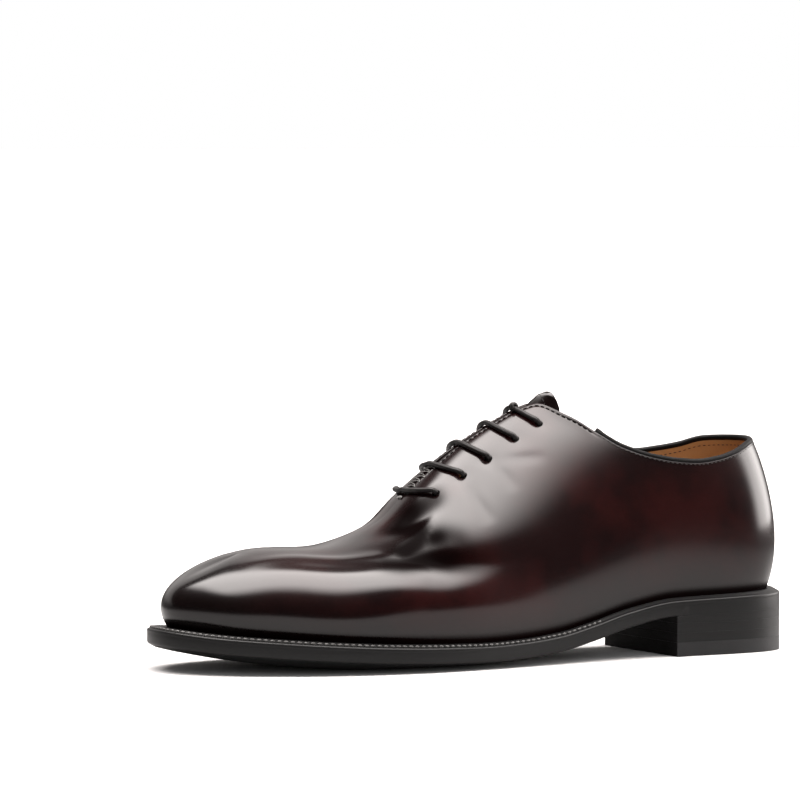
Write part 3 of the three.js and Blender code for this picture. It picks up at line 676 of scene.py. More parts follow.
# The leather is drawn in round each hole
HOLLOW_RADIUS = 3.4
HOLLOW_DEPTH = 0.45
relief = np.zeros(skin.shape[:2])
for t, v in eyelets_out + eyelets_in:
    relief += dent(skin, last_point(t, v), HOLLOW_RADIUS, HOLLOW_DEPTH)


def on_both_sides(spots):
    """The same path of spots on the outer and on the inner side."""
    return spots, [(TURN - t, reach, depth) for t, reach, depth in spots]


# Main creases: the shoulder along the forepart's side, the valley above it where the foot flexes,
# a low swell above that, the flat top of the toe, and folds down from the holes where the lace pulls.
# Each row: width in mm, power of its section, then (rib, reach from the ridge, depth in mm) along it.
CREASES = [
    (14, 2, (12.9, 33, 0), (12.3, 35, 0), (11.9, 36, -0.5), (11.4, 37, -1.8), (10.8, 38, -2.8),
     (10.1, 42, -2.9), (9.57, 47.5, -2.9), (9.05, 55.5, -2.6), (8.6, 65, -1.6), (8.2, 75, -1.3),
     (7.6, 86, -1.2), (7.0, 94, -0.5), (6.4, 100, 0)),
    (9.0, 1.5, (9.35, 36, 0), (9.05, 42, 0.7), (8.75, 47, 1.9), (8.50, 51.5, 3.0), (8.25, 58, 3.2),
     (7.98, 63, 2.5), (7.4, 71, 1.4), (6.84, 76, 0.6), (6.3, 81, 0)),
    (4.5, 2, (12.2, 23, 0), (11.6, 23, -0.5), (10.8, 23.5, -0.9), (10.0, 28.5, -0.9), (9.5, 32, -0.7),
     (9.1, 38, -0.3), (8.8, 44, 0)),
    (12, 2, (12.7, 8, 0), (11.8, 9, -0.7), (10.8, 11, -0.9), (9.9, 14, -0.5), (9.3, 17, 0)),
    (5.0, 2, (8.12, 23.5, 0.4), (8.32, 26.0, 0.8), (8.57, 25.4, 0.8), (8.85, 20.0, 0.2)),
    (3.2, 2, (7.64, 24.3, 0.5), (7.50, 39.2, 0.75), (7.40, 47.0, 0.5), (7.32, 53.8, 0)),
    (3.0, 2, (7.17, 22.1, 0.5), (7.00, 30.8, 0.55), (6.89, 37.9, 0.35), (6.81, 44.5, 0)),
    (2.6, 2, (7.10, 23.0, 0.1), (6.60, 29.8, 0.35), (6.12, 34.6, 0)),
]
for width, power, *spots in CREASES:
    for path in on_both_sides(spots):
        relief += trough(skin, path, width, power)

# Hollows below the slot's end, on the ridge and beside it: rib, reach, radius, depth
HOLLOWS = [(8.95, 0, 9.0, 0.7), (8.80, 19, 12.0, 2.0), (TURN - 8.80, 19, 12.0, 2.0)]
for t, reach, radius, depth in HOLLOWS:
    relief += dent(skin, spot_on(t, reach), radius, depth)

# The wax cracks and goes dull where the vamp folds, below the slot's end and along the valley.
# Painted shade where the vamp folds, below the slot's end and along the valley: the polish is dulled
# there and its colour darkened. Each row: width, power, then (rib, reach, share of the shine that is lost).
FOLD_SHADE = [
    (8.4, 3, (8.24, 21, 0.8), (8.54, 18, 1), (8.78, 19, 1), (8.62, 28, 1), (8.58, 36, 0.95), (8.86, 38, 1)),
    (7.4, 3, (9.5, 37.5, 0.4), (9.25, 41, 0.8), (9.0, 45, 0.9), (8.55, 49.5, 1), (8.13, 58, 1),
     (7.57, 67, 0.6), (7.0, 73, 0)),
    (8.0, 2, (8.50, 38, 0.7), (8.38, 41.5, 0.95), (8.22, 44.5, 0.95), (8.05, 48, 0.75), (7.85, 53, 0.65),
     (7.65, 57, 0.35), (7.4, 62, 0)),
]
dull = np.zeros(skin.shape[:2])
for width, power, *spots in FOLD_SHADE:
    for path in on_both_sides(spots):
        dull = np.maximum(dull, -trough(skin, path, width, power))

# A shallow stitched groove follows the facings' edge and the top line as far as the binding, and
# the edge beside it is less polished
STITCH_INSET = 2.0
GROOVE_DEPTH = 0.2
GROOVE_WIDTH = 0.5
GROOVE_DULLNESS = 0.4
EDGE_DULLNESS = 0.45
EDGE_BAND = 7
BINDING_FADE = 0.15
SLOT_FADE = 0.1
inset = coverage(skin_t, skin_v)
side_t = np.minimum(skin_t, TURN - skin_t)
stitched = np.clip((side_t - BINDING_END_RIB) / BINDING_FADE, 0, 1)
stitched = stitched * np.clip((SLOT_END_RIB - side_t) / SLOT_FADE, 0, 1)
relief -= GROOVE_DEPTH * stitched * np.exp(-((inset - STITCH_INSET) / GROOVE_WIDTH) ** 2)
edge_fade = np.exp(-(np.maximum(inset, 0) / EDGE_BAND) ** 1.5)
groove_fade = np.exp(-((inset - STITCH_INSET) / (GROOVE_WIDTH + 0.1)) ** 2)
dull = np.maximum(dull, EDGE_DULLNESS * stitched * edge_fade)
dull = np.maximum(dull, GROOVE_DULLNESS * stitched * groove_fade)

# The upper's foot turns in to the welt, where no light gets; a band there is dulled and darkened as painted
# shade
FOOT_SHADE = 0.97
FOOT_BAND = 3.6
FOOT_SUNK = 0.25
PLAIN_FOOT = 0.08
PLAIN_FOOT_INSIDE = (0.06, 0.1)
lowness = skin[..., 2] - welt_top(skin[..., 0])
dull = np.maximum(dull, FOOT_SHADE * np.exp(-(np.maximum(lowness, 0) / FOOT_BAND) ** 3))
relief *= np.clip(skin_v / PLAIN_FOOT, 0, 1)
outer = skin + skin_normal * relief[..., None]
outer[:, 0, 2] -= GAP + FOOT_SUNK

# Section of the rim: fall from its top as a share of its rounding, and depth below the face
RIM_SECTION = [(0.29, 0.13), (0.0, RIM_ROUND), (0.0, WALL - RIM_ROUND), (0.29, WALL - 0.13)]
edge_point = last_point(rib_t, rib_top)
edge_normal = last_normal(rib_t, rib_top)
down = unit(skin[:, -2] - skin[:, -1])
rim_rows = []
for fall, depth in RIM_SECTION:
    sunk = edge_point - edge_normal * depth
    sunk = sunk + down * (fall * rounding)[:, None] + edge_normal * relief[:, -1:]
    rim_rows.append(sunk)
plain_up_to, fades_in = PLAIN_FOOT_INSIDE
inner_relief = relief * np.clip((skin_v - plain_up_to) / fades_in, 0, 1)
inner_skin = skin + skin_normal * (inner_relief - WALL)[..., None]
inner_skin[:, 0, 2] = outer[:, 0, 2]
section = np.concatenate([outer, np.stack(rim_rows, axis=1), inner_skin[:, ::-1]], axis=1)

count, depth_rows = section.shape[:2]
outer_rows = outer.shape[1]
rim_span = range(outer_rows - 1, outer_rows + len(rim_rows))
faces = []
face_lining = []
for i in range(count):
    after = (i + 1) % count
    for j in range(depth_rows):
        if j in rim_span and rib_closed[i] and rib_closed[after]:
            continue
        k = (j + 1) % depth_rows
        faces.append((i * depth_rows + j, i * depth_rows + k, after * depth_rows + k, after * depth_rows + j))
        face_lining.append(1 if j >= outer_rows + len(rim_rows) - 1 and k != 0 else 0)
upper = new_mesh("upper_leather", section.reshape(-1, 3), faces)
upper.data.polygons.foreach_set("material_index", face_lining)
cleaned(upper, 0.01)

# The holes are punched through leather and lining, square to the face
HOLE_SIDES = 28
HOLE_REACH = 0.58
PUNCH_LENGTH = 9
punches = []
for t, v in eyelets_out + eyelets_in:
    centre = Vector(to_metres(off_last(t, v, WALL / 2)))
    turn = Vector(last_normal(t, v)).to_track_quat("Z", "Y").to_euler()
    bpy.ops.object.select_all(action="DESELECT")
    bpy.ops.mesh.primitive_cylinder_add(
        vertices=HOLE_SIDES, radius=EYELET_WIDTH / 2000, depth=PUNCH_LENGTH / 1000,
        location=centre, rotation=turn)
    punches.append(bpy.context.object)
for punch in punches:
    punch.select_set(True)
bpy.context.view_layer.objects.active = punches[0]
bpy.ops.object.join()
bpy.ops.object.transform_apply(location=True, rotation=True, scale=True)
punch_set = bpy.context.object
select_only(upper)
cut = upper.modifiers.new("holes", "BOOLEAN")
cut.operation = "DIFFERENCE"
cut.solver = "EXACT"
cut.object = punch_set
bpy.ops.object.modifier_apply(modifier=cut.name)
bpy.data.objects.remove(punch_set)
bpy.ops.object.shade_smooth_by_angle(angle=math.radians(50))

# The holes' walls take the calf's finish instead of the lining's
face_centres = np.array([face.center[:] for face in upper.data.polygons]) * 1000
for t, v in eyelets_out + eyelets_in:
    offset = face_centres - (off_last(t, v, WALL / 2) - MIDDLE)
    axis = last_normal(t, v)
    height = offset @ axis
    from_axis = np.linalg.norm(offset - height[:, None] * axis, axis=1)
    for index in np.nonzero((from_axis < EYELET_WIDTH * HOLE_REACH) & (np.abs(height) < WALL))[0]:
        upper.data.polygons[index].material_index = 0

# How dark the polish is burnished: towards the toe, the welt, the heel, the top line and the slot.
# Each is the share of the colour that goes, and how far it reaches in millimetres.
TOE_BURNISH = 0.9
TOE_BURNISH_START = 0.66 * LENGTH
TOE_BURNISH_RUN = 0.26 * LENGTH
WELT_BURNISH = 0.95
WELT_BURNISH_BAND = 11
HEEL_BURNISH = 0.55
HEEL_BURNISH_BAND = 26
EDGE_BURNISH = 0.6
EDGE_BURNISH_BAND = 6
# Where the polish is dulled its colour darkens too: painted shade in the folds and at the foot, less polish
# along the edges
DULL_AND_SHADE_DARKENING = 0.95
towards_toe = np.clip((skin[..., 0] - TOE_BURNISH_START) / TOE_BURNISH_RUN, 0, 1)
burnish = 1 - (
    (1 - TOE_BURNISH * towards_toe ** 1.5)
    * (1 - WELT_BURNISH * np.exp(-(lowness / WELT_BURNISH_BAND) ** 1.5))
    * (1 - HEEL_BURNISH * np.exp(-(skin[..., 0] / HEEL_BURNISH_BAND) ** 2))
    * (1 - EDGE_BURNISH * np.exp(-np.maximum(inset, 0) / EDGE_BURNISH_BAND))
)
tree_of_skin = kdtree.KDTree(skin.shape[0] * skin.shape[1])
for index, point in enumerate(to_metres(outer).reshape(-1, 3)):
    tree_of_skin.insert(point, index)
tree_of_skin.balance()
nearest = [tree_of_skin.find(vertex.co)[1] for vertex in upper.data.vertices]
# The burnish attribute also carries the painted shade of the folds and the foot
for name, values in (("burnish", np.maximum(burnish, DULL_AND_SHADE_DARKENING * dull)), ("dull", dull)):
    layer = upper.data.attributes.new(name, "FLOAT", "POINT")
    layer.data.foreach_set("value", values.reshape(-1)[nearest])


def new_material(name, **sockets):
    """Principled material with plain values set on its sockets."""
    material = bpy.data.materials.new(name)
    material.use_nodes = True
    shader = material.node_tree.nodes["Principled BSDF"]
    for key, value in sockets.items():
        shader.inputs[key.replace("_", " ")].default_value = value
    return material, material.node_tree, shader


def texture(tree, kind, where=None, **settings):
    """Texture in the piece's own space, or in another that is given."""
    node = add_node(tree, "ShaderNodeTex" + kind, **settings)
    if where is None:
        where = add_node(tree, "ShaderNodeTexCoord").outputs["Object"]
    tree.links.new(where, node.inputs["Vector"])
    return node.outputs[0]


def add_bump(tree, shader, height, strength, distance):
    bump = add_node(tree, "ShaderNodeBump", Strength=strength, Distance=distance)
    tree.links.new(height, bump.inputs["Height"])
    tree.links.new(bump.outputs[0], shader.inputs["Normal"])


def polished_calf(name):
    """Burgundy calf under layers of dark wax polish."""
    material, tree, shader = new_material(
        name, Roughness=0.5, Specular_IOR_Level=0.03, Coat_Weight=1.0, Coat_Roughness=0.155)
    clouds = texture(tree, "Noise", Scale=21.0, Detail=3.0, Roughness=0.55)
    streaks = texture(tree, "Noise", Scale=58.0, Detail=4.0, Roughness=0.6)
    patina = ramp(tree, maths(tree, "MULTIPLY_ADD", streaks, 0.35, clouds), 0.55, 0.82)
    hide = blended(tree, patina, (0.0046, 0.0008, 0.0009, 1), (0.0140, 0.0018, 0.0017, 1))
    # The burnish attribute darkens the hide and holds painted shade in the folds and at the foot; there the
    # dull attribute also takes the coat's reflection away as painted shade
    burnished = add_node(tree, "ShaderNodeAttribute", attribute_name="burnish").outputs["Fac"]
    dull_and_shade = add_node(tree, "ShaderNodeAttribute", attribute_name="dull").outputs["Fac"]
    surface = {
        "Base Color": blended(tree, burnished, hide, (0.0014, 0.0006, 0.0006, 1)),
        "Coat Weight": ramp(tree, dull_and_shade, 0.0, 1.0, low=1.0, high=0.01),
        "Specular IOR Level": ramp(tree, dull_and_shade, 0.0, 1.0, low=0.03, high=0.004),
        "Coat Roughness": ramp(tree, clouds, 0.3, 0.7, low=0.135, high=0.185),
    }
    for key, value in surface.items():
        tree.links.new(value, shader.inputs[key])
    pores = texture(tree, "Noise", Scale=1500.0, Detail=2.0, Roughness=0.6)
    add_bump(tree, shader, pores, strength=0.10, distance=0.0002)
    return material


def mottled(name, roughness, shine, tones, mottle, grain, strength, distance):
    """Plain finish that wanders between two tones, with a fine grain as bump."""
    material, tree, shader = new_material(name, Roughness=roughness, Specular_IOR_Level=shine)
    tree.links.new(blended(tree, texture(tree, **mottle), *tones), shader.inputs["Base Color"])
    add_bump(tree, shader, texture(tree, **grain), strength, distance)
    return material


calf = polished_calf("polished_calf")

# Vegetable-tanned lining leather is matt, with a fine grain
lining = mottled(
    "tan_lining", roughness=0.62, shine=0.35, tones=((0.30, 0.14, 0.055, 1), (0.42, 0.22, 0.09, 1)),
    mottle=dict(kind="Noise", Scale=34.0, Detail=4.0, Roughness=0.6),
    grain=dict(kind="Voronoi", Scale=1300.0), strength=0.25, distance=0.0002)
upper.data.materials.append(calf)
upper.data.materials.append(lining)
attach(upper, "root")
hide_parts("upper")

# The collar binding is a strip of thin black leather, folded over the rim of the quarters and
# stitched down. It starts at each side of the instep, where its end stands up a little.
BINDING_STEPS = 300
END_RISE = 0.28
END_LENGTH = 3.4


def rim_frame(t, step=0.02):
    """Middle of the upper's rim on ribs t, with its outward and upward directions."""

    def rim_middle(t):
        return off_last(t, covered_up_to(t % TURN), WALL / 2)

    point = rim_middle(t)
    forward = unit(rim_middle(t - step) - rim_middle(t + step))
    normal = last_normal(t, covered_up_to(t % TURN))
    upward = unit(np.cross(forward, normal))
    upward *= np.sign(upward[:, 2:])
    outward = unit(np.cross(upward, forward))
    outward *= np.sign((outward * normal).sum(axis=1))[:, None]
    return point, outward, upward


binding_t = np.linspace(BINDING_END_RIB, -BINDING_END_RIB, BINDING_STEPS + 1)
rim_point, rim_out, rim_up = rim_frame(binding_t)

# Section of the folded strip: outward and upward from the middle of the rim
FACE = WALL / 2
BINDING = [
    (FACE - 0.30, -0.3), (FACE - 0.02, -0.2), (FACE + 0.14, 0.1), (FACE + 0.22, 0.5), (FACE + 0.18, 1.0),
    (FACE - 0.05, 1.5), (0.7, 1.8), (0.25, 1.95), (-0.25, 1.95), (-0.7, 1.8), (-FACE - 0.05, 1.45),
    (-FACE - 0.2, 0.9), (-FACE - 0.22, 0.4), (-FACE - 0.15, 0.0), (-FACE - 0.02, -0.2),
    (-FACE + 0.2, -0.3), (0.0, -0.4),
]


def distance_along(path):
    """Distance walked from the start of a path to each of its points."""
    return np.concatenate([[0], np.linalg.norm(np.diff(path, axis=0), axis=1).cumsum()])


walk = distance_along(rim_point)
from_end = np.minimum(walk, walk[-1] - walk)
stub = 1 + END_RISE * np.exp(-(from_end / END_LENGTH) ** 6)
loops = []
for sideways, upwards in BINDING:
    rise = (upwards * stub)[:, None] if upwards > 0 else upwards
    loops.append(rim_point + rim_out * sideways + rim_up * rise)
strip = np.stack(loops, axis=1)


def swept_faces(steps, sides):
    """Faces of a tube of section loops, closed by a face at each end."""
    tube = []
    for i in range(steps - 1):
        for j in range(sides):
            k = (j + 1) % sides
            tube.append((i * sides + j, i * sides + k, (i + 1) * sides + k, (i + 1) * sides + j))
    tube.append(tuple(range(sides))[::-1])
    tube.append(tuple((steps - 1) * sides + j for j in range(sides)))
    return tube


def shaded_by_angle(piece, degrees):
    """Smooth shading but for edges sharper than an angle."""
    select_only(piece)
    bpy.ops.object.shade_smooth_by_angle(angle=math.radians(degrees))


binding = new_mesh("collar_binding_leather", strip.reshape(-1, 3), swept_faces(*strip.shape[:2]))
cleaned(binding, 0.001)
shaded_by_angle(binding, 60)


def shades(tone, dark, light):
    """Two colours round a tone, each from its red, green and blue factors."""
    return [(*(tone * factor for factor in factors), 1) for factors in (dark, light)]


def black_leather(name, tone, roughness, shine, grain, strength):
    """Black waxed leather with a fine grain."""
    return mottled(
        name, roughness, shine, shades(tone, (0.7, 0.62, 0.62), (1.5, 1.4, 1.4)),
        mottle=dict(kind="Noise", Scale=90.0, Detail=4.0, Roughness=0.6),
        grain=dict(kind="Voronoi", Scale=grain), strength=strength, distance=0.0003)


binding_look = black_leather(
    "binding_leather", tone=0.0025, roughness=0.5, shine=0.12, grain=1100.0, strength=0.3)
binding.data.materials.append(binding_look)
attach(binding, "root")
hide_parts("collar_binding")

# Stitches. One stitch is a short fat lens of waxed thread that dips into its holes at both ends; it
# is copied along each seam: round the facings, below the binding, and inside the collar.
bpy.ops.object.select_all(action="DESELECT")
bpy.ops.mesh.primitive_uv_sphere_add(segments=8, ring_count=6, radius=0.5)
pattern = bpy.context.object
stitch_points = np.array([vertex.co[:] for vertex in pattern.data.vertices])
stitch_faces = [tuple(face.vertices) for face in pattern.data.polygons]
bpy.data.objects.remove(pattern)


def paced(points, normals, pitch, step=0.2):
    """Even places along a seam: point, direction and normal."""
    walked = distance_along(points)
    at = np.arange(pitch / 2, walked[-1], pitch)

    def read(values, distance):
        return np.stack([np.interp(distance, walked, values[:, k]) for k in range(3)], axis=1)

    run = unit(read(points, at + step) - read(points, at - step))
    return read(points, at), run, unit(read(normals, at))


def stitched_seam(name, seams, length, width, height, pitch, slant=0.0):
    """Stitches of several seams, each (points, normals), as one object."""
    points, faces = [], []
    for seam, normals in seams:
        for place, run, facing in zip(*paced(seam, normals, pitch)):
            across = unit(np.cross(facing, run))
            run = unit(run * math.cos(slant) + across * math.sin(slant))
            across = np.cross(facing, run)
            body = (stitch_points[:, :1] * length * run + stitch_points[:, 1:2] * width * across
                    + stitch_points[:, 2:] * height * facing)
            faces += [tuple(k + len(points) * len(stitch_points) for k in face) for face in stitch_faces]
            points.append(place + body)
    return new_mesh(name, np.concatenate(points), faces)


# The rib where the zigzag ends and the facings' rows of stitches start, how many ribs short of the
# binding's end they stop, and how deep they lie
ZIGZAG_TOP_RIB = 7.96
SEAM_SHORT = 0.02
SEAM_DEPTH = 0.02
SEAM_STEPS = 420
outer_seam = np.linspace(ZIGZAG_TOP_RIB, BINDING_END_RIB + SEAM_SHORT, SEAM_STEPS)
seams = []
for seam_t in (outer_seam, TURN - outer_seam):
    seam_v = covered_up_to(seam_t, STITCH_INSET)
    seams.append((off_last(seam_t, seam_v, SEAM_DEPTH), last_normal(seam_t, seam_v)))
thread_stitches = stitched_seam("facing_stitches", seams, length=2.0, width=0.62, height=0.5, pitch=2.7)


def waxed_thread(name, tone, roughness, shine):
    """Waxed linen thread: fine twist as bump."""
    twist = dict(kind="Noise", Scale=3200.0, Detail=1.0)
    tones = shades(tone, (0.6, 0.58, 0.56), (1.5, 1.46, 1.4))
    return mottled(name, roughness, shine, tones, mottle=twist, grain=twist, strength=0.4, distance=0.0002)


dark_thread = waxed_thread("dark_thread", tone=0.008, roughness=0.45, shine=0.35)
black_thread = waxed_thread("black_thread", tone=0.002, roughness=0.7, shine=0.08)
thread_stitches.data.materials.append(black_thread)
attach(thread_stitches, "root")

# The collar's seams run below the binding outside and along the lining inside
BINDING_SEAM_DROP = 0.95
BINDING_SEAM_CLEAR = 0.02
BINDING_SEAM_SHORT = 0.05
LINING_SEAM_RIB = 4.9
LINING_SEAM_INSET = 2.6
LINING_SEAM_CLEAR = 0.05
COLLAR_SEAM_STEPS = 300
binding_seam_end = BINDING_END_RIB - BINDING_SEAM_SHORT
below_binding = np.linspace(binding_seam_end, -binding_seam_end, COLLAR_SEAM_STEPS)
point, outward, upward = rim_frame(below_binding)
binding_seam = point + outward * (FACE + BINDING_SEAM_CLEAR) - upward * BINDING_SEAM_DROP
lining_t = np.linspace(LINING_SEAM_RIB, -LINING_SEAM_RIB, COLLAR_SEAM_STEPS)
lining_v = covered_up_to(lining_t % TURN, LINING_SEAM_INSET)
lining_seam = off_last(lining_t, lining_v, WALL + LINING_SEAM_CLEAR)
seams = [(binding_seam, outward), (lining_seam, -last_normal(lining_t, lining_v))]
collar_stitches = stitched_seam("collar_stitches", seams, length=1.5, width=0.42, height=0.36, pitch=2.3)
collar_stitches.data.materials.append(dark_thread)
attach(collar_stitches, "root")

# The tongue is a soft padded flap of the same calf, lined in tan, sewn in at the slot's front end.
# It lies under the facings, and its top edge stands out between and behind their upper corners.
TONGUE_WALL = 2.4
LACE_WIDTH = 2.3
TONGUE_HALF_WIDTH = 20
TONGUE_WING = 0.16
TONGUE_TIP = 0.6
TONGUE_CORNER = 0.1
PEAK_GAIN = 1.2
TONGUE_PEAK = 4.6
TONGUE_RISE_START = 0.445
TONGUE_RISE_RUN = 0.04
TONGUE_RISE_REACH = 8
TONGUE_TOP_RIB = 5.87
TONGUE_FRONT_RIB = 9.1
TONGUE_STEPS = 90
TONGUE_COLUMNS = 48
TONGUE_BURNISH = 0.85

tongue_depth = WALL + LACE_WIDTH + 4 * GAP
tongue_rest = WALL + 2 * GAP


def smoothstep(x, low, high):
    f = np.clip((x - low) / (high - low), 0, 1)
    return f * f * (3 - 2 * f)


def tongue_face(share, u, below):
    """Point of the tongue at a share of its length and u across, at a depth below its face."""
    corner = 1 - np.minimum(share / TONGUE_CORNER, 1)
    half_width = TONGUE_HALF_WIDTH * (TONGUE_TIP + (1 - TONGUE_TIP) * np.sqrt(1 - corner ** 2))
    top = TONGUE_TOP_RIB - TONGUE_WING * np.abs(u)
    rib = top + (TONGUE_FRONT_RIB - top) * share
    t = np.where(u <= 0, rib, TURN - rib)
    reach = np.abs(u) ** 1.4 * half_width
    v = share_at(t.reshape(-1), reach.reshape(-1)).reshape(t.shape)
    x = last_point(t, v)[..., 0] / LENGTH
    raised = smoothstep(TONGUE_RISE_START - x, 0, TONGUE_RISE_RUN)
    lift = (tongue_depth - tongue_rest) * raised * np.exp(-((reach / TONGUE_RISE_REACH) ** 4))
    point = off_last(t, v, tongue_depth - lift + below)
    point[..., 2] += np.clip(PEAK_GAIN * (-coverage(t, v) - 2 * GAP), 0, TONGUE_PEAK)
    return point


across_line = np.linspace(-1, 1, TONGUE_COLUMNS + 1)
along_line = np.linspace(0, 1, TONGUE_STEPS + 1) ** 1.5
share_grid, u_grid = np.meshgrid(along_line, across_line, indexing="ij")
u_grid = np.where(np.abs(u_grid) < 1e-9, 0.0, u_grid)
flap = np.stack([tongue_face(share_grid, u_grid, below) for below in (0.0, TONGUE_WALL)])
row_count, column_count = share_grid.shape
end_row, end_column = row_count - 1, column_count - 1


def at(layer, i, j):
    """Number of the net's point in a layer, row and column."""
    return (layer * row_count + i) * column_count + j


faces = []
for i in range(end_row):
    for j in range(end_column):
        faces.append((at(0, i, j), at(0, i, j + 1), at(0, i + 1, j + 1), at(0, i + 1, j)))
        faces.append((at(1, i + 1, j), at(1, i + 1, j + 1), at(1, i, j + 1), at(1, i, j)))
    faces.append((at(0, i, 0), at(0, i + 1, 0), at(1, i + 1, 0), at(1, i, 0)))
    j = end_column
    faces.append((at(1, i, j), at(1, i + 1, j), at(0, i + 1, j), at(0, i, j)))
for j in range(end_column):
    i = end_row
    faces.append((at(1, 0, j), at(1, 0, j + 1), at(0, 0, j + 1), at(0, 0, j)))
    faces.append((at(0, i, j), at(0, i, j + 1), at(1, i, j + 1), at(1, i, j)))
tongue = new_mesh("tongue_leather", flap.reshape(-1, 3), faces)
cleaned(tongue, 0.001)


def rounded_edges(piece, width, segments, sharper_than, smooth_to):
    """Rounds the edges of a piece sharper than an angle, then shades it smooth up to another."""
    bevel = piece.modifiers.new("rounded_edge", "BEVEL")
    bevel.width = width / 1000
    bevel.segments = segments
    bevel.limit_method = "ANGLE"
    bevel.angle_limit = math.radians(sharper_than)
    select_only(piece)
    bpy.ops.object.modifier_apply(modifier=bevel.name)
    shaded_by_angle(piece, smooth_to)


rounded_edges(tongue, width=0.5, segments=3, sharper_than=50, smooth_to=60)
layer = tongue.data.attributes.new("burnish", "FLOAT", "POINT")
layer.data.foreach_set("value", [TONGUE_BURNISH] * len(tongue.data.vertices))
tongue.data.materials.append(calf)
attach(tongue, "root")
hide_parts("tongue")

# A row of dark stitches follows the tongue's edge, through the padding
QUILT_REACH = 0.8
QUILT_SHARE = 0.045
QUILT_STEPS = 160
quilt_u = np.linspace(-QUILT_REACH, QUILT_REACH, QUILT_STEPS)
quilt_share = np.full(QUILT_STEPS, QUILT_SHARE)
quilt = tongue_face(quilt_share, quilt_u, 0.0)
quilt_normal = unit(quilt - tongue_face(quilt_share, quilt_u, TONGUE_WALL))
tongue_stitches = stitched_seam(
    "tongue_stitches", [(quilt, quilt_normal)], length=1.7, width=0.5, height=0.4, pitch=2.3)
tongue_stitches.data.materials.append(dark_thread)
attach(tongue_stitches, "root")

# The lace is a thin round waxed cord. It crosses square to the slot in five straight bars and runs
# back inside the upper from one hole to the next; its ends stop behind the top pair of holes.
LACE_BOW = 6
CROWN_RISE = 0.5
CORD_SIDES = 16
CORD_STEPS = 6

# A bar comes out of its hole: cord widths towards the slot, share of its height over the leather.
# Then it goes on by shares of the way to the slot, and a run inside by shares of its own way.
MOUTH = [(-0.1, 0.0), (0.1, 0.6), (0.45, 0.98), (0.9, 1.1)]
BAR_SHARES = [0.22, 0.36, 0.52, 0.7, 0.86]
RUN_SHARES = [0.02, 0.1, 0.3, 0.5, 0.7, 0.9, 0.98]
lace_inside = WALL + 2 * GAP + LACE_WIDTH / 2
lace_outside = -(GAP * 0.2 + LACE_WIDTH / 2)


def turning_point(low, high, falls_short):
    """Place between two others where a rule stops holding, found by halving."""
    for _ in range(30):
        middle = (low + high) / 2
        if falls_short(middle):
            low = middle
        else:
            high = middle
    return low


def rib_at_x(t, v, x):
    """Rib on the same side as t that passes x at height share v."""
    towards_toe = 1 if t % TURN <= TOE_ROW else -1
    return turning_point(t - towards_toe, t + towards_toe, lambda rib: last_point(rib, v)[0] < x)


def lace_bar(k, start, end):
    """Bar from one hole of a pair to the other, up out of the leather and down into it."""
    reach = EYELETS[k][1] * HALF_WIDTH
    steps = [(away * LACE_WIDTH, above) for away, above in MOUTH]
    steps += [(share * reach, MOUTH[-1][1]) for share in BAR_SHARES]

    def rise(hole):
        points = []
        for away, above in steps:
            share = away / reach
            x = last_point(*hole)[0] + LACE_BOW * share * (2 - share)
            v = share_at(hole[0], reach - away)[0]
            points.append(off_last(rib_at_x(hole[0], v, x), v, lace_outside * above + (1 - above) * GAP))
        return points

    up_side = rise(start)
    down_side = rise(end)[::-1]
    crown = (up_side[-1] + down_side[0]) / 2 + np.array([0, 0, CROWN_RISE])
    return up_side + [crown] + down_side


def lace_run(start, end):
    """Run inside the upper from one hole to the next."""
    points = []
    for k, share in enumerate(RUN_SHARES):
        t = start[0] + (end[0] - start[0]) * share
        v = start[1] + (end[1] - start[1]) * share
        at_end = k in (0, len(RUN_SHARES) - 1)
        points.append(off_last(t, v, lace_inside - (LACE_WIDTH / 4 if at_end else 0)))
    return points


def cord_mesh(name, path, width, sides):
    """Round cord along a path, with u round it and v along it in millimetres on its UV map."""
    run = unit(np.gradient(path, axis=0))
    side = np.cross(run[0], (0.3, 0.9, 0.1))
    angles = 2 * math.pi * np.arange(sides)[:, None] / sides
    sections = []
    for centre, heading in zip(path, run):
        side = unit(side - heading * (side @ heading))
        other = np.cross(heading, side)
        sections.append(centre + width / 2 * (np.cos(angles) * side + np.sin(angles) * other))
    sections = np.array(sections)
    piece = new_mesh(name, sections.reshape(-1, 3), swept_faces(*sections.shape[:2]))
    walked = distance_along(path)
    uv = piece.data.uv_layers.new(name="cord")
    for face in piece.data.polygons:
        turns = [(vertex % sides) / sides for vertex in face.vertices]
        wraps = len(turns) == 4 and max(turns) - min(turns) > 0.5
        for corner, vertex, turn in zip(face.loop_indices, face.vertices, turns):
            if wraps and turn < 0.5:
                turn += 1
            uv.data[corner].uv = (turn, walked[vertex // sides])
    return piece


hole = eyelets_in[0]
route = [off_last(*hole, lace_inside), off_last(*hole, WALL)]
for k in range(len(EYELETS)):
    far = eyelets_out[k] if hole is eyelets_in[k] else eyelets_in[k]
    top_bar = lace_bar(k, hole, far)
    route += top_bar + [off_last(*far, WALL)]
    if k + 1 < len(EYELETS):
        hole = eyelets_out[k + 1] if far is eyelets_out[k] else eyelets_in[k + 1]
        route += lace_run(far, hole) + [off_last(*hole, WALL)]
route.append(off_last(*far, lace_inside))
lace = cord_mesh("lace_cord", smooth_path(route, CORD_STEPS), LACE_WIDTH, CORD_SIDES)


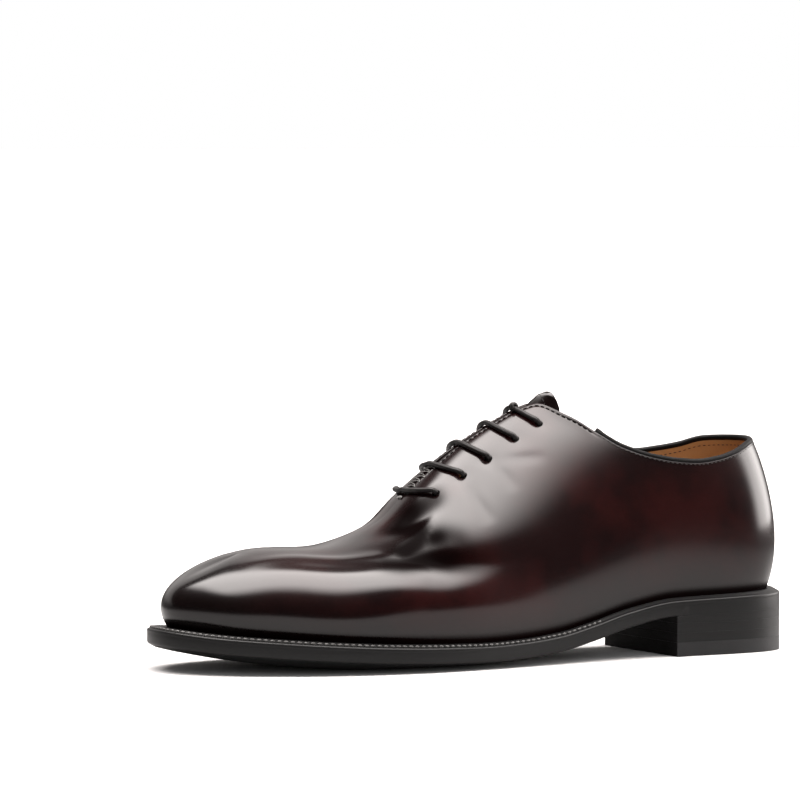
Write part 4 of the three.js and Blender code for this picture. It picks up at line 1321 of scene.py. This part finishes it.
def waxed_cord(name, strand_count=6, twist=4.6):
    """Braided cotton, waxed: two sets of strands cross over each other, with painted shade in the hollows
    between them.
    """
    material, tree, shader = new_material(name, Roughness=0.36, Specular_IOR_Level=0.34)
    apart = add_node(tree, "ShaderNodeSeparateXYZ")
    tree.links.new(add_node(tree, "ShaderNodeUVMap", uv_map="cord").outputs[0], apart.inputs[0])
    strands = []
    for sign in (1, -1):
        turn = maths(tree, "MULTIPLY", apart.outputs["X"], sign * strand_count * 2 * math.pi)
        strands.append(maths(tree, "SINE", maths(tree, "MULTIPLY_ADD", apart.outputs["Y"], twist, turn)))
    braid = maths(tree, "MULTIPLY", *strands)
    height = maths(tree, "MULTIPLY_ADD", braid, 0.5, 0.5)
    # Painted shade: the hollows between the strands are darker
    colour = blended(tree, height, (0.0022, 0.0018, 0.0017, 1), (0.012, 0.010, 0.0095, 1))
    tree.links.new(colour, shader.inputs["Base Color"])
    add_bump(tree, shader, braid, strength=0.5, distance=0.00012)
    return material


cord_look = waxed_cord("waxed_cord")
lace.data.materials.append(cord_look)
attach(lace, "root")
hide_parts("lace")

# A half hitch ties the two ends off round the top bar, pulled tight, so its cord is thinner
HITCH_TURNS = 1.6
HITCH_RADIUS = 1.35
HITCH_SHIFT = 2.6
HITCH_LIFT = 0.1
HITCH_SPREAD = 0.9
HITCH_CORD = 1.7
HITCH_STEPS = 40
middle = len(top_bar) // 2
hitch_run = unit(top_bar[middle + 1] - top_bar[middle - 1])
hitch_side = unit(np.cross(hitch_run, (0, 0, 1)))
hitch_up = np.cross(hitch_side, hitch_run)
swing = np.linspace(0, 2 * math.pi * HITCH_TURNS, HITCH_STEPS)[:, None]
shift = HITCH_SHIFT + np.linspace(-HITCH_SPREAD, HITCH_SPREAD, HITCH_STEPS)[:, None]
hitch_path = top_bar[middle] + hitch_run * shift + hitch_up * (HITCH_RADIUS * np.cos(swing) + HITCH_LIFT)
hitch_path = hitch_path + hitch_side * HITCH_RADIUS * np.sin(swing)
hitch = cord_mesh("lace_hitch", hitch_path, HITCH_CORD, CORD_SIDES)
hitch.data.materials.append(cord_look)
shaded_by_angle(hitch, 60)
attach(hitch, "root")

# A zigzag of pale thread draws the facings together between the two lowest bars, and a bar tack of
# short stitches side by side closes the slot's front end.
ZIGZAG_RIBS = (8.5, ZIGZAG_TOP_RIB)
ZIGZAG_STITCHES = 13
ZIGZAG_INSET = 2.3
ZIGZAG_THREAD = 0.42

# Thread through one hole of the zigzag: share of the pitch along, share of the inset, depth
ZIGZAG_TURN = [(-0.3, 0.1, -0.3), (-0.1, 0.8, -0.25), (0, 1.0, 0.4), (0.1, 0.8, -0.25), (0.3, 0.1, -0.3)]
zigzag_pitch = (ZIGZAG_RIBS[1] - ZIGZAG_RIBS[0]) / (ZIGZAG_STITCHES - 1)
zigzag = []
for k, t in enumerate(np.linspace(*ZIGZAG_RIBS, ZIGZAG_STITCHES)):
    for step, reach_in, depth in ZIGZAG_TURN:
        rib = t + step * zigzag_pitch
        rib = rib if k % 2 else TURN - rib
        edge = covered_up_to(np.array([rib]), reach_in * ZIGZAG_INSET)[0]
        zigzag.append(off_last(rib, edge, depth))
pale_thread = waxed_thread("pale_thread", tone=0.11, roughness=0.4, shine=0.6)
slot_stitch = cord_mesh("slot_zigzag", np.array(zigzag), ZIGZAG_THREAD, 8)
slot_stitch.data.materials.append(pale_thread)
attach(slot_stitch, "root")

TACK_REACH = 1.9
TACK_CLEAR = 0.1
TACK_STEPS = 21
tack_reach = np.linspace(-TACK_REACH, TACK_REACH, TACK_STEPS)
tack_t = np.where(tack_reach < 0, TURN - SLOT_END_RIB, SLOT_END_RIB)
tack_v = share_at(tack_t, np.abs(tack_reach))
tack_seam = (off_last(tack_t, tack_v, -TACK_CLEAR), last_normal(tack_t, tack_v))
tack = stitched_seam(
    "bar_tack", [tack_seam], length=1.6, width=0.36, height=0.5, pitch=0.36, slant=math.pi / 2)
tack.data.materials.append(pale_thread)
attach(tack, "root")

# Sole leather. The welt is a strip sewn round the upper's foot, the outsole is sewn to it, and both
# edges are trimmed flush, rounded, inked black and waxed. A row of stitches shows along the welt.
WELT_HEIGHT = 3.4
WELT_SHELF = 8
WELT_UNDER_FOOT = 0.4
SHELF_DROP = 0.2
SOLE_STEPS = 12


def edge_curve(t):
    return ring_point(EDGE_RING, t)


def foot_curve(t):
    return last_point(t, np.zeros_like(t))


def line_at(base, t, inset, height):
    """Line round the shoe at an inward distance from a base curve, with its own height rule."""
    run = base(t + 0.1) - base(t - 0.1)
    inward = unit(np.stack([run[:, 1], -run[:, 0], np.zeros(len(t))], axis=1))
    point = base(t) + inward * inset
    point[:, 2] = height(point[:, 0])
    return point


def loop_at(base, steps, inset, height):
    """The same line all the way round."""
    return line_at(base, np.arange(TURN * steps) / steps, inset, height)


def drawn_in(loop, share, height):
    """Loop drawn in towards the line midway between its two sides."""
    middle = (loop + loop[(-np.arange(len(loop))) % len(loop)]) / 2
    point = loop + (middle - loop) * share
    point[:, 2] = height(point[:, 0], 1 - share)
    return point


def lofted(name, loops, closed=False):
    """Starts from a circle of points on the first loop and extrudes it from loop to loop."""
    bpy.ops.object.select_all(action="DESELECT")
    bpy.ops.mesh.primitive_circle_add(vertices=len(loops[0]), radius=0.1, location=(0, 0, 0))
    piece = bpy.context.object
    piece.name = name
    piece.data.name = name
    places = piece.data.attributes.new("place", "INT", "POINT")
    places.data.foreach_set("value", range(len(loops[0])))
    for vertex, point in zip(piece.data.vertices, to_metres(loops[0])):
        vertex.co = point
    bpy.ops.object.mode_set(mode="EDIT")
    bpy.ops.mesh.select_all(action="SELECT")
    for loop in list(loops[1:]) + ([loops[0]] if closed else []):
        bpy.ops.mesh.extrude_edges_move()
        net = bmesh.from_edit_mesh(piece.data)
        order = net.verts.layers.int["place"]
        targets = to_metres(loop)
        for vertex in net.verts:
            if vertex.select:
                vertex.co = targets[vertex[order]]
        bmesh.update_edit_mesh(piece.data)
    bpy.ops.mesh.select_all(action="SELECT")
    bpy.ops.mesh.remove_doubles(threshold=1e-6)
    bpy.ops.mesh.normals_make_consistent(inside=False)
    bpy.ops.object.mode_set(mode="OBJECT")
    piece.data.attributes.remove(piece.data.attributes["place"])
    bpy.ops.object.shade_smooth_by_angle(angle=math.radians(40))
    return piece


def outsole_top(x):
    return welt_top(x) - WELT_HEIGHT


def shelf(x):
    return welt_top(x) - SHELF_DROP


# Section of the welt, outer edge to inner edge: inset from the sole's edge, height below its top
WELT_SECTION = [
    (0.02, 3.4), (0.0, 3.2), (0.0, 2.2), (0.08, 1.95), (0.3, 1.72), (0.75, 1.45), (0.95, 1.45), (1.5, 1.1),
    (2.15, 0.75), (2.4, 0.55), (3.0, 0.2), (3.7, 0.0),
]
welt_loops = [
    loop_at(edge_curve, SOLE_STEPS, inset_by, lambda x, fall=fall: welt_top(x) - fall)
    for inset_by, fall in WELT_SECTION
]
for inset_by, rule in ((WELT_UNDER_FOOT, shelf), (WELT_SHELF, shelf), (WELT_SHELF, outsole_top)):
    welt_loops.append(loop_at(foot_curve, SOLE_STEPS, inset_by, rule))
welt = lofted("welt_leather", welt_loops, closed=True)


def edge_leather(name, tone, roughness):
    """Edge of sole leather, inked black and waxed: faint level streaks of the fibres."""
    material, tree, shader = new_material(name, Roughness=roughness, Specular_IOR_Level=0.28)
    squeeze = add_node(tree, "ShaderNodeMapping", Scale=(26, 26, 700))
    where = add_node(tree, "ShaderNodeTexCoord")
    tree.links.new(where.outputs["Object"], squeeze.inputs["Vector"])
    fibres = texture(tree, "Noise", squeeze.outputs[0], Scale=1.0, Detail=4.0, Roughness=0.6)
    fleck = texture(tree, "Noise", Scale=900.0, Detail=2.0)
    tones = shades(tone, (0.75, 0.74, 0.75), (1.35, 1.35, 1.38))
    tree.links.new(blended(tree, fibres, *tones), shader.inputs["Base Color"])
    surface = maths(tree, "MULTIPLY_ADD", fleck, 0.5, fibres)
    add_bump(tree, shader, surface, strength=0.08, distance=0.0004)
    return material


sole_edge = edge_leather("sole_edge", tone=0.0065, roughness=0.38)
welt.data.materials.append(sole_edge)
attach(welt, "root")
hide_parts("welt")

# The outsole's lower edge is rounded ahead of the heel: share of the rounding inward, and upward.
# The line between it and the welt is a fine notch.
EDGE_ROUND = 1.3
ROUNDING = [(0.0, 1.0), (0.08, 0.6), (0.3, 0.3), (0.6, 0.08), (1.0, 0.0)]
ROUNDED_FROM = HEEL_LENGTH - 3
ROUNDED_ALL_FROM = HEEL_LENGTH + 1
NOTCH_DEPTH = 0.02
NOTCH_HEIGHT = 0.2
FLAT_SHARE = 0.34
TREAD_SHARES = (0.06, 0.16, 0.3, 0.45, 0.66, 0.83, 1.0)
sole_loops = [
    loop_at(edge_curve, SOLE_STEPS, NOTCH_DEPTH, outsole_top),
    loop_at(edge_curve, SOLE_STEPS, 0.0, lambda x: outsole_top(x) - NOTCH_HEIGHT),
]
sharp = loop_at(edge_curve, SOLE_STEPS, 0.0, edge_bottom)
ahead_of_heel = smoothstep(sharp[:, 0], ROUNDED_FROM, ROUNDED_ALL_FROM)[:, None]
for inward, upward in ROUNDING:
    rounded = loop_at(
        edge_curve, SOLE_STEPS, inward * EDGE_ROUND, lambda x, up=upward: edge_bottom(x) + up * EDGE_ROUND)
    sole_loops.append(sharp + (rounded - sharp) * ahead_of_heel)
lowest = sole_loops[-1]


def tread(x, u):
    rise = np.maximum(u - FLAT_SHARE, 0) / (1 - FLAT_SHARE)
    return middle_bottom(x) + (edge_bottom(x) - middle_bottom(x)) * rise ** 2


sole_loops += [drawn_in(lowest, share, tread) for share in TREAD_SHARES]
top_loops = [drawn_in(sole_loops[0], share, lambda x, u: outsole_top(x)) for share in (1.0, 0.5)]
outsole = lofted("outsole_leather", top_loops + sole_loops)
outsole.data.materials.append(sole_edge)
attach(outsole, "root")
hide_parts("outsole")

# The stitches show as far as the waist, where the welt narrows and the upper hides them
WELT_STITCH = 1.55
WELT_STITCH_DROP = 0.85
WELT_SEAM_STEPS = 1200
WAIST_RIB = 5.35
welt_t = np.linspace(WAIST_RIB, TURN - WAIST_RIB, WELT_SEAM_STEPS)
stitch_line = line_at(edge_curve, welt_t, WELT_STITCH, lambda x: welt_top(x) - WELT_STITCH_DROP)
upright = np.broadcast_to(np.array([0.0, 0.0, 1.0]), stitch_line.shape)
welt_stitches = stitched_seam(
    "welt_stitches", [(stitch_line, upright)], length=2.5, width=0.9, height=1.1, pitch=2.9, slant=0.2)
welt_stitches.data.materials.append(waxed_thread("welt_thread", tone=0.05, roughness=0.32, shine=0.6))
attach(welt_stitches, "root")

# The heel: three lifts of sole leather and a rubber top piece, nailed up under the seat, cut off
# straight at the breast, then trimmed, inked and waxed together, so their joints hardly show.
TOP_PIECE_HEIGHT = 6
LIFT_HEIGHT = 4
LIFT_COUNT = 3
HEEL_STEPS = 96
BREAST_STEPS = 14
TRIMMED_EDGE = 0.06


def breast_rib(low, high):
    """Rib on one side where the straight breast of the heel meets the sole's edge."""
    return turning_point(low, high, lambda rib: edge_curve(np.array(rib))[0] < HEEL_LENGTH)


breast_out = breast_rib(0.0, float(TOE_ROW))
breast_in = breast_rib(float(TURN), float(TOE_ROW))
heel_outline = edge_curve(np.linspace(breast_in - TURN, breast_out, HEEL_STEPS))
breast_line = np.linspace(heel_outline[-1], heel_outline[0], BREAST_STEPS)[1:-1]
heel_outline = np.concatenate([heel_outline, breast_line])
# A darker, duller copy of the sole edge's finish for the heel's breast, as painted shade under the waist
shaded_breast = black_leather("shaded_breast", tone=0.006, roughness=0.7, shine=0.1, grain=900.0, strength=0.2)


def heel_slab(name, bottom, top, look):
    """One layer of the heel; its breast gets a darker, duller copy of the edge's finish as painted shade."""
    low, high = heel_outline.copy(), heel_outline.copy()
    low[:, 2] = bottom(low[:, 0])
    high[:, 2] = top(high[:, 0])
    slab = lofted(name, [low, high])
    bpy.ops.object.mode_set(mode="EDIT")
    bpy.ops.mesh.select_all(action="DESELECT")
    bpy.ops.mesh.select_non_manifold()
    bpy.ops.mesh.edge_face_add()
    bpy.ops.mesh.select_all(action="SELECT")
    bpy.ops.mesh.normals_make_consistent(inside=False)
    bpy.ops.object.mode_set(mode="OBJECT")
    rounded_edges(slab, width=TRIMMED_EDGE, segments=1, sharper_than=45, smooth_to=30)
    slab.data.materials.append(look)
    slab.data.materials.append(shaded_breast)
    for face in slab.data.polygons:
        face.material_index = 1 if face.normal.x > 0.8 else 0
    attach(slab, "root")
    return slab


def level(height):
    return lambda x: np.full(len(x), float(height))


# Moulded rubber is matt, with a fine pebble and a little dust
rubber = mottled(
    "heel_rubber", roughness=0.58, shine=0.4, tones=((0.007, 0.007, 0.0075, 1), (0.014, 0.014, 0.015, 1)),
    mottle=dict(kind="Noise", Scale=60.0, Detail=4.0), grain=dict(kind="Noise", Scale=1400.0, Detail=2.0),
    strength=0.25, distance=0.0003)
top_piece = heel_slab("heel_top_piece_rubber", level(0), level(TOP_PIECE_HEIGHT + GAP), rubber)
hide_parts("heel_top_piece")
for k in range(LIFT_COUNT):
    start = TOP_PIECE_HEIGHT + GAP + k * (LIFT_HEIGHT + GAP)
    top = level(start + LIFT_HEIGHT + GAP) if k < LIFT_COUNT - 1 else edge_bottom
    lift = heel_slab(f"heel_lift_{k + 1}_leather", level(start), top, sole_edge)
    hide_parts(f"heel_lift_{k + 1}")

# The insole is a board of tan leather that fills the foot of the upper, slightly dished under the
# heel, with its edge against the lining.
INSOLE_HEIGHT = 3.2
BED_INSET = WALL + 3 * GAP
FILLER_INSET = WELT_SHELF + GAP
FILLER_CLEAR = 0.1
BED_ROUND = 0.5
BED_DISH = 0.8
BED_STEPS = 8
BED_SHARES = (0.08, 0.2, 0.35, 0.5, 0.7, 0.85, 1.0)


def bed_top(x):
    return welt_top(x) + GAP + INSOLE_HEIGHT


def filler_top(x):
    return welt_top(x) + FILLER_CLEAR


def dished(x, u):
    return bed_top(x) - BED_DISH * (1 - u ** 2)


insole_loops = [
    loop_at(foot_curve, BED_STEPS, FILLER_INSET, outsole_top),
    loop_at(foot_curve, BED_STEPS, FILLER_INSET, filler_top),
    loop_at(foot_curve, BED_STEPS, BED_INSET, filler_top),
    loop_at(foot_curve, BED_STEPS, BED_INSET, lambda x: bed_top(x) - BED_ROUND),
    loop_at(foot_curve, BED_STEPS, BED_INSET + BED_ROUND, bed_top),
]
bottom_line = drawn_in(insole_loops[0], 1.0, lambda x, u: outsole_top(x))
bed_loops = [drawn_in(insole_loops[-1], share, dished) for share in BED_SHARES]
insole = lofted("insole_leather", [bottom_line] + insole_loops + bed_loops)
insole.data.materials.append(lining)
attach(insole, "root")
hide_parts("insole")
